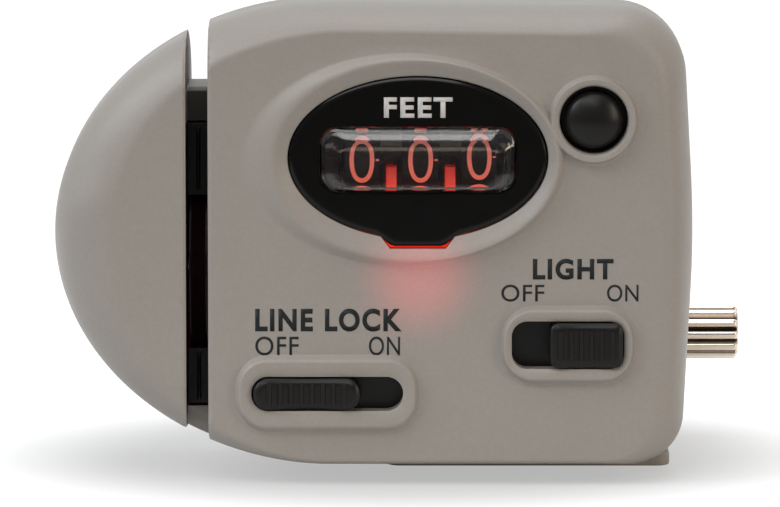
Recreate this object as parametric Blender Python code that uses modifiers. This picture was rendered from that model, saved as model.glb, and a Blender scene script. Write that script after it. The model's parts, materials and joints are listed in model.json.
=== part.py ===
"""Clip-on fishing line counter: a measuring wheel in a line slot drives three digit drums.

Front faces -Y, the line runs along Z through the slot, and every shaft of the counter lies along X.
Before centring, x = 0 is the middle of the slot, y = 0 is the flat of the face and z = 0 is the foot.
"""

from math import acos, atan2, cos, pi, radians, sin, sqrt, tan

import bmesh
import bpy
from mathutils import Matrix, Vector

MM = 0.001

# Clearances and cuts
GAP = 0.3 * MM
RUN = 0.15 * MM
OVERRUN = 3.0 * MM
WELD = 0.001 * MM

# Roundness of turned pieces
FINE_STEPS = 24
STEPS = 14
FEW_STEPS = 8

# Housing, its widest outline seen from the front
NOSE_X = -16.1 * MM
SIDE_ROOM = 6.9 * MM
HEADROOM = 2.6 * MM
FOOT_GAP = 0.4 * MM
SHOULDER_X = 14.8 * MM
SIDE_TUCK = 1.4 * MM
TOP_FALL = 0.5 * MM
TOP_CORNER = 5.0 * MM
BOTTOM_CORNER = 5.6 * MM
SIDE_CROWN = 130.0 * MM
WALL = 1.8 * MM

# How far the flat face is drawn in from that outline, and the rounded band between them
FACE_LEFT = 6.8 * MM
FACE_TOP = 2.8 * MM
FACE_RIGHT = 3.6 * MM
FACE_BOTTOM = 1.0 * MM
FACE_RISE = 2.05 * MM
FACE_SHOULDER = 2.2 * MM
BAND_DEPTH = 6.5 * MM
BAND_TURN = radians(66)
BAND_RINGS = 3

# Depths of the two shells, and how far the back face is drawn in
PARTING_Y = 12.0 * MM
BACK_LEFT = 9.0 * MM
BACK_TOP = 4.5 * MM
BACK_RIGHT = 3.0 * MM
BACK_BOTTOM = 3.5 * MM
BACK_RINGS = 4

# Line slot between the wing and the body
SLOT = 2.5 * MM
WEB = 1.6 * MM
FLOOR_Y = 8.6 * MM
BRIDGE_DEEP = 3.4 * MM
BRIDGE_BEHIND = 8.6 * MM
NOTCH_DROP = 3.2 * MM
LINER_ABOVE = 17.2 * MM
LINER_BELOW = 15.3 * MM
LINER_WALL = 0.45 * MM
LINER_FLOOR = 0.8 * MM
LIP = 2.4 * MM

# Measuring wheel: five turns to a foot of line
FOOT = 304.8 * MM
TURNS_PER_FOOT = 5
WHEEL_R = FOOT / TURNS_PER_FOOT / (2 * pi)
WHEEL_WIDTH = 2.0 * MM
WHEEL_FRONT = 5.0 * MM
WHEEL_Z = 23.1 * MM
GROOVE = 0.5 * MM
CHAMBER_GAP = 0.5 * MM
SHAFT_R = 1.0 * MM
BUSH_R = 1.8 * MM
BUSH_FLANGE_R = 2.4 * MM
BUSH_FLANGE = 0.35 * MM
CHEEK_REACH = 7.0 * MM
CHEEK_HALF = 10.0 * MM

# Gear train, 50 turns of the wheel to one of the units drum
MODULE = 0.4 * MM
PINION_TEETH = 8
WHEEL_TEETH = 40
LAST_PINION_TEETH = 10
LAST_TEETH = 20
TOOTH_TIP_SHARE = 0.9
TOOTH_ROOT_SHARE = 1.15
ROOT_WIDTH_SHARE = 0.29
TIP_WIDTH_SHARE = 0.08
GEAR_FACE = 1.5 * MM
GEAR_STEP = 2.0 * MM
GEAR_PLATE = 1.0 * MM
STUD_R = 0.8 * MM
FIRST_GEAR_TILT = radians(80)

# Digit drums
DRUM_R = 9.4 * MM
DRUM_START = 1.81 * MM
DRUM_PITCH = 6.58 * MM
DRUM_WIDTH = 3.9 * MM
DRUM_FRONT = 3.2 * MM
DRUM_Z = 36.8 * MM
DRUM_RIM = 1.2 * MM
DRUM_WEB = 1.0 * MM
DRUM_HUB_R = 2.2 * MM
DIGIT_SHAFT_R = 1.1 * MM
CARRY_MODULE = 0.76 * MM
CARRY_TEETH = 20
CARRY_PINION_TEETH = 8
CARRY_FACE = 0.5 * MM
CARRY_TILT = radians(-40)
CATCH_FACE = 0.4 * MM
CATCH_START = 2.28 * MM
HEART_START = 1.45 * MM
HEART_FACE = 0.55 * MM
HEART_LOW = 3.0 * MM
HEART_HIGH = 4.9 * MM
CATCH_AT = radians(100)

# Frame of the counter
FRAME_SHEET = 1.0 * MM
FRAME_SIDE = 1.05 * MM
FRAME_CLEAR = 1.0 * MM
FRAME_OVER = 1.2 * MM
FRAME_BAR = 1.4 * MM

# Display bezel and its raised surround
BEZEL_OFFSET = 0.32 * MM
BEZEL_A = 14.4 * MM
BEZEL_B = 9.3 * MM
BEZEL_SET = 0.2 * MM
BEZEL_THICK = 1.5 * MM
TAB_TOP = 8.8 * MM
TAB_LOW = 5.7 * MM
TAB_DROP = 0.4 * MM
RING_RISE = 1.0 * MM
RING_A = 18.2 * MM
RING_B = 12.0 * MM
RING_SHIFT = -1.5 * MM
RIDGE_A = 15.9 * MM
RIDGE_B = 11.2 * MM
RIDGE_SHIFT = -0.3 * MM
RIDGE_FLAT = 0.6 * MM
LENS_WIDTH = 22.1 * MM
LENS_HEIGHT = 7.5 * MM
LENS_CORNER = 2.2 * MM
LENS_RISE = 0.55 * MM
LENS_SEAT = 0.5 * MM

# Light guide under the window, with one prong in each gap between drums
PRONG = 1.2 * MM
PRONG_SHORT = 0.6 * MM
PRONG_DEEP = 2.4 * MM
GUIDE_TALL = 4.0 * MM
GUIDE_BELOW = 1.1 * MM
GUIDE_DEEP = 2.6 * MM
GUIDE_HALF = 6.4 * MM
LED_R = 1.5 * MM
LED_TALL = 4.2 * MM

# Reset button, its spring and the comb that knocks the drums to zero
BUTTON_OUT = 8.7 * MM
BUTTON_UP = 4.5 * MM
BUTTON_R = 3.2 * MM
BUTTON_HOLE_R = 3.82 * MM
BUTTON_RING_R = 5.07 * MM
BUTTON_RIDGE_R = 4.4 * MM
BUTTON_PROUD = 1.6 * MM
BUTTON_FLANGE_R = 4.6 * MM
BUTTON_FLANGE = 0.9 * MM
BUTTON_TRAVEL = 2.0 * MM
PLUNGER_R = 1.4 * MM
PLUNGER_OUT = 0.5 * MM
SPRING_ROOM = 5.7 * MM
SPRING_R = 2.3 * MM
SPRING_WIRE = 0.22 * MM
SPRING_TURNS = 5
COIL_STEPS = 10
COMB_BEHIND = 7.4 * MM
COMB_OVER = 0.4 * MM
COMB_ROD_R = 0.9 * MM
COMB_FINGER = 0.45 * MM
COMB_ARM = 1.4 * MM
COMB_BAR = 1.3 * MM
COMB_PAST = 1.8 * MM
COMB_FOOT = 1.6 * MM
COMB_CLEAR = 0.95 * MM

# Line lock: a knob moves a keeper with a roller across the slot through a reversing lever
LOCK_OUT = 2.91 * MM
LOCK_DROP = 12.6 * MM
LOCK_LENGTH = 17.0 * MM
LOCK_HEIGHT = 3.9 * MM
LOCK_RIM_LENGTH = 20.5 * MM
LOCK_RIM_HEIGHT = 8.7 * MM
LOCK_KNOB = 12.0 * MM
LOCK_TRAVEL = 4.6 * MM
LOCK_RIB_PITCH = 1.08 * MM
LOCK_PLATE_END = 3.3 * MM
RIM_RISE = 0.9 * MM
RIM_RIDGE = 0.8 * MM
KNOB_PROUD = 1.5 * MM
KNOB_RIB = 0.45 * MM
KNOB_PLATE = 0.8 * MM
KEEPER_Y = 3.3 * MM
KEEPER_R = 0.65 * MM
ROLLER_R = 1.2 * MM
ROLLER_LENGTH = 2.8 * MM
KEEPER_BORE = 1.4 * MM
LEVER_BEHIND = 0.7 * MM
LEVER_SHEET = 1.0 * MM
LEVER_WIDTH = 3.0 * MM
PEG_R = 0.6 * MM
PIVOT_R = 1.0 * MM
CARRIAGE_DEEP = 1.4 * MM
CARRIAGE_HEIGHT = 3.6 * MM

# Light switch
LIGHT_IN = 14.3 * MM
LIGHT_UP = 14.1 * MM
LIGHT_LENGTH = 12.6 * MM
LIGHT_HEIGHT = 5.4 * MM
LIGHT_RIM_LENGTH = 14.9 * MM
LIGHT_RIM_HEIGHT = 8.8 * MM
LIGHT_KNOB = 8.2 * MM
LIGHT_RIB_PITCH = 1.5 * MM
LIGHT_PLATE_END = 3.1 * MM
LIGHT_PLATE_START = 5.0 * MM
SWITCH_DEEP = 3.0 * MM
SWITCH_LENGTH = 11.0 * MM
SWITCH_HEIGHT = 5.0 * MM
BOARD = 1.0 * MM
BOARD_LENGTH = 32.0 * MM
BOARD_TALL = 13.0 * MM
BOARD_IN = 3.8 * MM
BOARD_BELOW = 3.4 * MM

# Coin cell and its door in the back
CELL_OUT = 5.6 * MM
CELL_UP = 1.4 * MM
CELL_R = 10.0 * MM
CELL_THICK = 1.6 * MM
CELL_BEHIND = 1.3 * MM
CUP_WALL = 1.8 * MM
CUP_LIP = 0.5 * MM
DOOR_R = 10.9 * MM
DOOR_THICK = 1.0 * MM
DOOR_SLOT = 1.6 * MM
DOOR_SLOT_DEEP = 0.8 * MM
CONTACT = 0.3 * MM
CONTACT_WIDTH = 3.0 * MM

# Rod clamp on the back, with its foot under the housing
BASE_LEFT = 21.2 * MM
BASE_TOP = 24.4 * MM
BASE_PLATE = 2.5 * MM
FOOT_REACH = 14.3 * MM
FOOT_THICK = 1.5 * MM
FOOT_CORNER = 1.5 * MM
FIXED_JAW = 4.8 * MM
VEE = 2.0 * MM
VEE_HALF = 3.6 * MM
PAD = 1.3 * MM
JAW_GAP = 13.6 * MM
JAW_BEYOND = 3.1 * MM
JAW_LENGTH = 8.8 * MM
END_WALL = 3.6 * MM
TONGUE = 1.2 * MM
TONGUE_HALF = 3.0 * MM
VEE_START = 2.4 * MM
SCREW_R = 1.8 * MM
HEAD_R = 3.1 * MM
HEAD_GAP = 0.9 * MM
HEAD_LENGTH = 7.8 * MM
HEAD_RIBS = 12
HEAD_GROOVE = 0.55 * MM
CLIP = 0.6 * MM
CLIP_R = 3.0 * MM
RIB = 1.2 * MM

# Housing screws, placed by where their bosses stand
BOSS_R = 2.3 * MM
REAR_BOSS_R = 2.6 * MM
SCREW_SHANK_R = 1.0 * MM
SCREW_HEAD_R = 1.8 * MM
SCREW_HEAD = 1.2 * MM
SCREW_BITE = 6.0 * MM
HEAD_SINK = 2.6 * MM
TOP_BOSS_IN = 6.0 * MM
LOW_BOSS_X = 12.0 * MM
LOW_BOSS_UP = 3.5 * MM
WING_BOSS_IN = 8.4 * MM

# Shares of a piece's own size
RIM_CORNER_SHARE = 0.42
BOSS_ROOT_SHARE = 0.6
STADIUM_SHARE = 0.48
LIGHT_CORNER_SHARE = 0.32
SCREW_SOCKET_SHARE = 0.7
KNOB_RIB_SHARE = 0.4
COIN_SLOT_SHARE = 0.7
CONTACT_DIP_SHARE = 0.62
CONTACT_FALL_SHARE = 0.84
CONTACT_RING_SHARES = (0.35, 0.6)
CAP_EDGE_SHARES = ((0.93, 0.75), (0.7, 0.94))
RIB_CREST_SHARES = (0.18, 0.5, 0.82)

# Places that follow from the sizes above, from the slot outwards
BOTTOM_Z = FOOT_THICK + FOOT_GAP
WHEEL_Y = WHEEL_FRONT + WHEEL_R
HALF_SLOT = SLOT / 2
WEB_X = HALF_SLOT + WEB
LINER_TOP = WHEEL_Z + LINER_ABOVE
LINER_BOTTOM = WHEEL_Z - LINER_BELOW
BRIDGE_TOP = LINER_TOP + BRIDGE_DEEP
BRIDGE_BACK = PARTING_Y + BRIDGE_BEHIND
FIRST_PLANE = WEB_X + GAP + GEAR_PLATE + RUN * 5
PLANES = [FIRST_PLANE + GEAR_STEP * k for k in range(3)]
FRAME_LEFT = PLANES[2] + GEAR_FACE + 2 * GAP
DRUM_GAP = DRUM_PITCH - DRUM_WIDTH
DRUM_X = FRAME_LEFT + FRAME_SHEET + DRUM_START + DRUM_GAP + DRUM_WIDTH / 2 + DRUM_PITCH
DRUM_Y = DRUM_FRONT + DRUM_R
DRUM_LEFTS = [DRUM_X + DRUM_PITCH * k - DRUM_WIDTH / 2 for k in (-1, 0, 1)]
FRAME_RIGHT = DRUM_LEFTS[2] + DRUM_WIDTH + FRAME_SIDE
FRAME_LOW = DRUM_Z - DRUM_R - FRAME_CLEAR - FRAME_BAR
COMB_Y = DRUM_Y + COMB_BEHIND
COMB_Z = DRUM_Z + DRUM_R + COMB_OVER + COMB_ROD_R
COMB_REACH = COMB_BEHIND + COMB_PAST
FRAME_HIGH = COMB_Z + COMB_ROD_R + FRAME_OVER
FRAME_BACK = COMB_Y + COMB_ROD_R + FRAME_OVER
TOP_Z = FRAME_HIGH + HEADROOM + WALL
MIDDLE_Z = (TOP_Z + BOTTOM_Z) / 2
BEZEL_X = DRUM_X - BEZEL_OFFSET
BEZEL_Z = DRUM_Z
TAB_Z = BEZEL_Z - BEZEL_B - TAB_DROP
GUIDE_FRONT = WALL + GAP
GUIDE_LOW = TAB_Z - GUIDE_BELOW
GUIDE_HIGH = GUIDE_LOW + GUIDE_TALL
PRONG_TOP = DRUM_Z - PRONG_SHORT
BUTTON_X = FRAME_RIGHT + FRAME_SHEET + BUTTON_OUT
BUTTON_Z = DRUM_Z + BUTTON_UP
SPRING_SEAT_Y = WALL + GAP + BUTTON_FLANGE + SPRING_ROOM
PLUNGER_END = SPRING_SEAT_Y + FRAME_SHEET + PLUNGER_OUT
SIDE_X = BUTTON_X + BUTTON_FLANGE_R + SIDE_ROOM
PLATE_BACK = WALL + GAP + KNOB_PLATE
CARRIAGE_LEFT = WEB_X + GAP
LOCK_X = CARRIAGE_LEFT + LOCK_OUT + LOCK_LENGTH / 2
LOCK_Z = WHEEL_Z - LOCK_DROP
LOCK_ARM = LOCK_DROP / 2
LEVER_Y = PLATE_BACK + GAP + CARRIAGE_DEEP + LEVER_BEHIND
LEVER_Z = WHEEL_Z - LOCK_ARM
LEVER_REST = atan2(LOCK_TRAVEL / 2, LOCK_ARM)
CARRY_PEG_X = CARRIAGE_LEFT + LEVER_WIDTH / 2 + RUN
LEVER_X = CARRY_PEG_X + LOCK_TRAVEL / 2
KEEPER_PEG_X = CARRY_PEG_X + LOCK_TRAVEL
KEEPER_TIP = WEB_X - WEB / 2
LIGHT_X = SIDE_X - LIGHT_IN
LIGHT_Z = BOTTOM_Z + LIGHT_UP
BOARD_FRONT = PLATE_BACK + GAP + SWITCH_DEEP + GAP
BOARD_RIGHT = SIDE_X - BOARD_IN
BOARD_LEFT = BOARD_RIGHT - BOARD_LENGTH
BOARD_LOW = LIGHT_Z - BOARD_BELOW
BOARD_HIGH = BOARD_LOW + BOARD_TALL
CELL_X = FRAME_RIGHT + CELL_OUT
CELL_Z = DRUM_Z + CELL_UP
CELL_FRONT = FRAME_BACK + CELL_BEHIND
CELL_BACK = CELL_FRONT + CELL_THICK
DOOR_INNER = CELL_BACK + 2 * (GAP + CONTACT)
BACK_Y = DOOR_INNER + DOOR_THICK + DOOR_SLOT_DEEP
PLATE_FRONT = BACK_Y + GAP
BASE_PLATE_BACK = PLATE_FRONT + BASE_PLATE
FIXED_FACE = BASE_LEFT + FIXED_JAW
JAW_LEFT = FIXED_FACE + JAW_GAP
JAW_RIGHT = JAW_LEFT + JAW_LENGTH
CLIP_START = JAW_RIGHT + 2 * GAP
END_LEFT = CLIP_START + CLIP + GAP
BASE_RIGHT = END_LEFT + END_WALL
SCREW_Y = BASE_PLATE_BACK + VEE_START + VEE_HALF
SCREW_Z = BASE_TOP / 2
BASE_BACK = SCREW_Y + VEE_HALF + JAW_BEYOND
FOOT_FRONT = PLATE_FRONT - FOOT_REACH
HEAD_START = BASE_RIGHT + HEAD_GAP
HEAD_END = HEAD_START + HEAD_LENGTH


# Scene and materials


def clear_scene():
    """Removes whatever the file starts with."""
    for old in list(bpy.data.objects):
        bpy.data.objects.remove(old, do_unlink=True)


clear_scene()
PARTS = bpy.data.collections.new("fishing_line_counter")
CUTTERS = bpy.data.collections.new("cutters")
bpy.context.scene.collection.children.link(PARTS)
bpy.context.scene.collection.children.link(CUTTERS)
ROOT = bpy.data.objects.new("counter_origin", None)
PARTS.objects.link(ROOT)


def finish(name, colour, roughness, metallic=0.0, alpha=1.0):
    """A Principled material."""
    made = bpy.data.materials.new(name)
    made.use_nodes = True
    shader = made.node_tree.nodes["Principled BSDF"]
    shader.inputs["Base Color"].default_value = (*colour, 1.0)
    shader.inputs["Roughness"].default_value = roughness
    shader.inputs["Metallic"].default_value = metallic
    shader.inputs["Alpha"].default_value = alpha
    return made


GREY = finish("taupe_plastic", (0.30, 0.28, 0.26), 0.45)
BLACK = finish("black_plastic", (0.015, 0.015, 0.016), 0.3)
DRUM_BLACK = finish("drum_black", (0.01, 0.01, 0.01), 0.4)
WHITE_GEAR = finish("acetal_white", (0.75, 0.74, 0.70), 0.4)
CLEAR = finish("clear_lens", (0.9, 0.9, 0.9), 0.05, 0.0, 0.35)
RED_CLEAR = finish("red_light_guide", (0.8, 0.03, 0.02), 0.1, 0.0, 0.5)
STEEL = finish("steel", (0.6, 0.6, 0.6), 0.3, 1.0)
NICKEL = finish("nickel_plate", (0.75, 0.72, 0.66), 0.2, 1.0)
BRASS = finish("brass", (0.75, 0.55, 0.25), 0.3, 1.0)
RUBBER = finish("black_rubber", (0.02, 0.02, 0.02), 0.8)
BOARD_GREEN = finish("circuit_board", (0.03, 0.16, 0.07), 0.5)


# Shapes


def add(name, mesh, material, origin=(0, 0, 0)):
    """Puts a mesh in the scene under the root: a part where it has a material, else a cutter or a joined piece."""
    made = bpy.data.objects.new(name, mesh)
    made.parent = ROOT
    made.location = origin
    if material:
        mesh.materials.append(material)
        PARTS.objects.link(made)
    else:
        made.hide_render = True
        made.display_type = "WIRE"
        CUTTERS.objects.link(made)
    return made


def smooth(mesh, angle=radians(35)):
    """Shades a round piece smooth and keeps its edges sharp."""
    mesh.shade_smooth()
    mesh.set_sharp_from_angle(angle=angle)


def box(name, low, high, material=None):
    """A box between two corners, with its origin in its middle."""
    shape = bmesh.new()
    bmesh.ops.create_cube(shape, size=1)
    sides = [b - a for a, b in zip(low, high)]
    bmesh.ops.scale(shape, vec=sides, verts=shape.verts)
    mesh = bpy.data.meshes.new(name)
    shape.to_mesh(mesh)
    shape.free()
    return add(name, mesh, material, [(a + b) / 2 for a, b in zip(low, high)])


TO_X = Matrix.Rotation(pi / 2, 4, "Y")
TO_Y = Matrix.Rotation(-pi / 2, 4, "X")
TO_Z = Matrix.Identity(4)
FLAT_YZ = Matrix(((0, 0, 1, 0), (1, 0, 0, 0), (0, 1, 0, 0), (0, 0, 0, 1)))
FLAT_XZ = Matrix(((1, 0, 0, 0), (0, 0, -1, 0), (0, 1, 0, 0), (0, 0, 0, 1)))
FLAT_XY = Matrix.Identity(4)


def rod(name, turn, origin, start, end, radius, material=None, steps=STEPS, tip_radius=None):
    """A cylinder or cone along an axis through its origin, from start to end along that axis."""
    shape = bmesh.new()
    last = radius if tip_radius is None else tip_radius
    bmesh.ops.create_cone(
        shape, cap_ends=True, segments=steps, radius1=radius, radius2=last, depth=end - start
    )
    bmesh.ops.translate(shape, vec=(0, 0, (start + end) / 2), verts=shape.verts)
    shape.transform(turn)
    mesh = bpy.data.meshes.new(name)
    shape.to_mesh(mesh)
    shape.free()
    smooth(mesh)
    return add(name, mesh, material, origin)


def turned(name, turn, origin, profile, material=None, steps=STEPS, ring=False):
    """A turned piece: (radius, along) points, run down its outer side, swept round by a Screw modifier."""
    points = [(radius, 0, along) for radius, along in profile]
    edges = [(i, i + 1) for i in range(len(points) - 1)]
    if ring:
        edges.append((len(points) - 1, 0))
    mesh = bpy.data.meshes.new(name)
    mesh.from_pydata(points, edges, [])
    made = add(name, mesh, material, origin)
    made.rotation_euler = turn.to_euler()
    screw = made.modifiers.new("turn", "SCREW")
    screw.steps = steps
    screw.render_steps = steps
    screw.use_merge_vertices = True
    screw.merge_threshold = WELD
    screw.use_smooth_shade = True
    return made


def outline_mesh(name, outline, low, high, lie):
    """A flat outline given thickness from low to high, made by a 2D curve and turned into a mesh."""
    curve = bpy.data.curves.new(name, "CURVE")
    curve.dimensions = "2D"
    curve.fill_mode = "BOTH"
    curve.extrude = (high - low) / 2
    line = curve.splines.new("POLY")
    line.points.add(len(outline) - 1)
    for point, (across, up) in zip(line.points, outline):
        point.co = (across, up, 0, 1)
    line.use_cyclic_u = True
    holder = bpy.data.objects.new(name, curve)
    bpy.context.scene.collection.objects.link(holder)
    bpy.context.view_layer.update()
    graph = bpy.context.evaluated_depsgraph_get()
    mesh = bpy.data.meshes.new_from_object(holder.evaluated_get(graph))
    bpy.data.objects.remove(holder, do_unlink=True)
    shape = bmesh.new()
    shape.from_mesh(mesh)
    bmesh.ops.remove_doubles(shape, verts=shape.verts, dist=WELD)
    bmesh.ops.translate(shape, vec=(0, 0, (low + high) / 2), verts=shape.verts)
    shape.transform(lie)
    bmesh.ops.recalc_face_normals(shape, faces=shape.faces)
    shape.to_mesh(mesh)
    shape.free()
    return mesh


def sheet(name, outline, low, high, lie, material=None, origin=(0, 0, 0)):
    """A flat piece with the given outline, from low to high across it."""
    return add(name, outline_mesh(name, outline, low, high, lie), material, origin)


def loft(name, rings, material=None, capped=True):
    """A surface through rings of as many points each, with a face closing each end where it is capped."""
    count = len(rings[0])
    points = [point for ring in rings for point in ring]
    faces = []
    for i in range(len(rings) - 1):
        a = i * count
        b = a + count
        for k in range(count):
            n = (k + 1) % count
            faces.append((a + k, a + n, b + n, b + k))
    if capped:
        faces.append(tuple(range(count)))
        faces.append(tuple(range((len(rings) - 1) * count, len(rings) * count)))
    mesh = bpy.data.meshes.new(name)
    mesh.from_pydata(points, [], faces)
    shape = bmesh.new()
    shape.from_mesh(mesh)
    bmesh.ops.recalc_face_normals(shape, faces=shape.faces)
    shape.to_mesh(mesh)
    shape.free()
    return add(name, mesh, material)


def boolean(target, tool, operation):
    """Adds a live exact Boolean to the target."""
    step = target.modifiers.new(f"{operation.lower()}_{tool.name}"[:60], "BOOLEAN")
    step.operation = operation
    step.object = tool
    return target


def cut(target, *tools):
    """Takes the tools away from the target."""
    for tool in tools:
        boolean(target, tool, "DIFFERENCE")
    return target


def join(target, *tools):
    """Makes the target and the tools one body."""
    for tool in tools:
        boolean(target, tool, "UNION")
    return target


# Outlines


def oval(x, z, half_width, half_height, steps=FINE_STEPS):
    """Points round an ellipse."""
    turns = [2 * pi * k / steps for k in range(steps)]
    return [(x + half_width * cos(a), z + half_height * sin(a)) for a in turns]


def rounded(corners, steps=5):
    """A polygon's outline with each corner (across, up, radius) rounded by an arc."""
    points = []
    count = len(corners)
    for k, (across, up, radius) in enumerate(corners):
        here = Vector((across, up))
        if not radius:
            points.append((across, up))
            continue
        before = Vector(corners[k - 1][:2]) - here
        after = Vector(corners[(k + 1) % count][:2]) - here
        before.normalize()
        after.normalize()
        half = acos(max(-1, min(1, before.dot(after)))) / 2
        tangent = radius / tan(half)
        centre = here + (before + after).normalized() * (radius / sin(half))
        first = here + before * tangent - centre
        last = here + after * tangent - centre
        start = atan2(first.y, first.x)
        swing = (atan2(last.y, last.x) - start + pi) % (2 * pi) - pi
        for step in range(steps + 1):
            angle = start + swing * step / steps
            points.append((centre.x + radius * cos(angle), centre.y + radius * sin(angle)))
    return points


def rounded_box(x, z, width, height, radius, steps=5):
    """A rectangle with round corners, about its middle."""
    across = width / 2
    up = height / 2
    corners = [(x + across, z + up), (x - across, z + up), (x - across, z - up), (x + across, z - up)]
    return rounded([(a, b, radius) for a, b in corners], steps)


def arc(x, z, half_width, half_height, start, end, steps):
    """Points along a stretch of an ellipse, without its last one."""
    turns = [start + (end - start) * k / steps for k in range(steps)]
    return [(x + half_width * cos(a), z + half_height * sin(a)) for a in turns]


def housing_outline(left=0, top=0, right=0, bottom=0, rise=0, shoulder=0):
    """The housing seen from the front, an elliptical nose and a squared right end, drawn in by the given amounts."""
    west = NOSE_X + left
    east = SIDE_X - right
    north = TOP_Z - top
    south = BOTTOM_Z + bottom
    nose = MIDDLE_Z + rise
    upper = SHOULDER_X + shoulder
    points = arc(upper, nose, upper - west, north - nose, pi / 2, pi, 11)
    points += arc(SHOULDER_X, nose, SHOULDER_X - west, nose - south, pi, 1.5 * pi, 11)
    return points + rounded_end(upper, east, south, north)


def rounded_end(upper, east, south, north):
    """The right end of the housing's outline, from under the shoulder round to above it."""
    ends = [
        (SHOULDER_X, south, 0),
        (east - SIDE_TUCK, south, BOTTOM_CORNER),
        (east, (south + north) / 2, SIDE_CROWN),
        (east - SIDE_TUCK, north - TOP_FALL, TOP_CORNER),
        (upper, north, 0),
    ]
    return rounded(ends)[:-1]


def at(outline, y):
    """An outline in the XZ plane, placed at a depth."""
    return [(x, y, z) for x, z in outline]


def between(first, second, share):
    """The outline that lies a share of the way from one to another."""
    return [(a + (c - a) * share, b + (d - b) * share) for (a, b), (c, d) in zip(first, second)]


def front_rings(inset=0, back=PARTING_Y):
    """Rings of the front shell from its back edge to its face, each drawn in by an inset."""
    wide = housing_outline(inset, inset, inset, inset)
    face = housing_outline(
        FACE_LEFT + inset, FACE_TOP + inset, FACE_RIGHT + inset, FACE_BOTTOM + inset, FACE_RISE, FACE_SHOULDER
    )
    rings = [at(wide, back)]
    for k in range(BAND_RINGS + 1):
        turn = BAND_TURN * k / BAND_RINGS
        share = (1 - cos(turn)) / (1 - cos(BAND_TURN))
        depth = BAND_DEPTH * (1 - sin(turn) / sin(BAND_TURN)) + inset
        rings.append(at(between(wide, face, share), depth))
    return rings


def back_rings(inset=0, start=PARTING_Y + GAP):
    """Rings of the rear shell from its front edge to its back face, each drawn in by an inset."""
    wide = housing_outline(inset, inset, inset, inset)
    flat = housing_outline(BACK_LEFT + inset, BACK_TOP + inset, BACK_RIGHT + inset, BACK_BOTTOM + inset)
    rings = []
    for k in range(BACK_RINGS + 1):
        turn = pi / 2 * k / BACK_RINGS
        depth = start + (BACK_Y - inset - start) * sin(turn)
        rings.append(at(between(wide, flat, 1 - cos(turn)), depth))
    return rings


def gear_outline(teeth, module, phase):
    """A gear's outline, with one tooth's middle at the given angle."""
    tip = module * (teeth / 2 + TOOTH_TIP_SHARE)
    root = module * (teeth / 2 - TOOTH_ROOT_SHARE)
    pitch = 2 * pi / teeth
    flanks = [(root, -ROOT_WIDTH_SHARE), (tip, -TIP_WIDTH_SHARE), (tip, TIP_WIDTH_SHARE), (root, ROOT_WIDTH_SHARE)]
    points = []
    for tooth in range(teeth):
        for radius, share in flanks:
            angle = phase + (tooth + share) * pitch
            points.append((radius * cos(angle), radius * sin(angle)))
    return points


def meshing(here, there):
    """The angle in the YZ plane from one shaft to another."""
    return atan2(there[1] - here[1], there[0] - here[0])


def third_shaft(first, first_reach, last, last_reach):
    """The shaft that lies at given distances from two others, on the upper side."""
    gap = Vector(last) - Vector(first)
    along = (first_reach**2 - last_reach**2 + gap.length_squared) / (2 * gap.length)
    aside = sqrt(first_reach**2 - along**2)
    unit = gap.normalized()
    return (
        first[0] + unit.x * along - unit.y * aside,
        first[1] + unit.y * along + unit.x * aside,
    )


WHEEL_AXIS = (WHEEL_Y, WHEEL_Z)
DRUM_AXIS = (DRUM_Y, DRUM_Z)
BIG_REACH = MODULE * (PINION_TEETH + WHEEL_TEETH) / 2
LAST_REACH = MODULE * (LAST_PINION_TEETH + LAST_TEETH) / 2
FIRST_AXIS = (
    WHEEL_Y + BIG_REACH * cos(FIRST_GEAR_TILT),
    WHEEL_Z + BIG_REACH * sin(FIRST_GEAR_TILT),
)
SECOND_AXIS = third_shaft(DRUM_AXIS, LAST_REACH, FIRST_AXIS, BIG_REACH)
CARRY_REACH = CARRY_MODULE * (CARRY_TEETH + CARRY_PINION_TEETH) / 2
CARRY_AXIS = (DRUM_Y + CARRY_REACH * cos(CARRY_TILT), DRUM_Z + CARRY_REACH * sin(CARRY_TILT))
BOSSES = [
    (SIDE_X - TOP_BOSS_IN, TOP_Z - TOP_BOSS_IN),
    (LOW_BOSS_X, BOTTOM_Z + LOW_BOSS_UP),
    (NOSE_X + WING_BOSS_IN, MIDDLE_Z),
    (SIDE_X - TOP_BOSS_IN, BOTTOM_Z + TOP_BOSS_IN),
]


# Front shell with its web, raised rims and openings


def hollow(shell):
    """Gives an open surface the housing's wall, on its inner side."""
    wall = shell.modifiers.new("wall", "SOLIDIFY")
    wall.solidify_mode = "NON_MANIFOLD"
    wall.nonmanifold_thickness_mode = "CONSTRAINTS"
    wall.thickness = WALL
    wall.offset = -1


def front_shell():
    """The moulded front, with the slot's webs, the rims round the controls and the screw bosses."""
    shell = loft("front_shell", front_rings(), GREY, capped=False)
    face = bmesh.new()
    face.from_mesh(shell.data)
    face.verts.ensure_lookup_table()
    count = len(housing_outline())
    face.faces.new(face.verts[-count:])
    bmesh.ops.recalc_face_normals(face, faces=face.faces)
    face.to_mesh(shell.data)
    face.free()
    hollow(shell)
    webs = box("front_webs", (-WEB_X, -OVERRUN, 0), (WEB_X, PARTING_Y, TOP_Z))
    boolean(webs, loft("front_form", front_rings(WALL / 2)), "INTERSECT")
    cheeks = box(
        "bearing_cheeks",
        (RUN - WEB_X, FLOOR_Y + GAP, WHEEL_Z - CHEEK_HALF),
        (WEB_X - RUN, PARTING_Y + CHEEK_REACH, WHEEL_Z + CHEEK_HALF),
    )
    join(shell, join(webs, cheeks))
    join(shell, *front_rims(), *front_bosses(), lever_pivot())
    cut(shell, *slot_cutters(), *face_openings())
    return shell


def raised(name, low, top):
    """A low raised pad on the face, from one outline inside the wall to a smaller one in front."""
    return loft(name, [at(low, WALL / 2), at(low, 0), at(top, -RING_RISE)])


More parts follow.
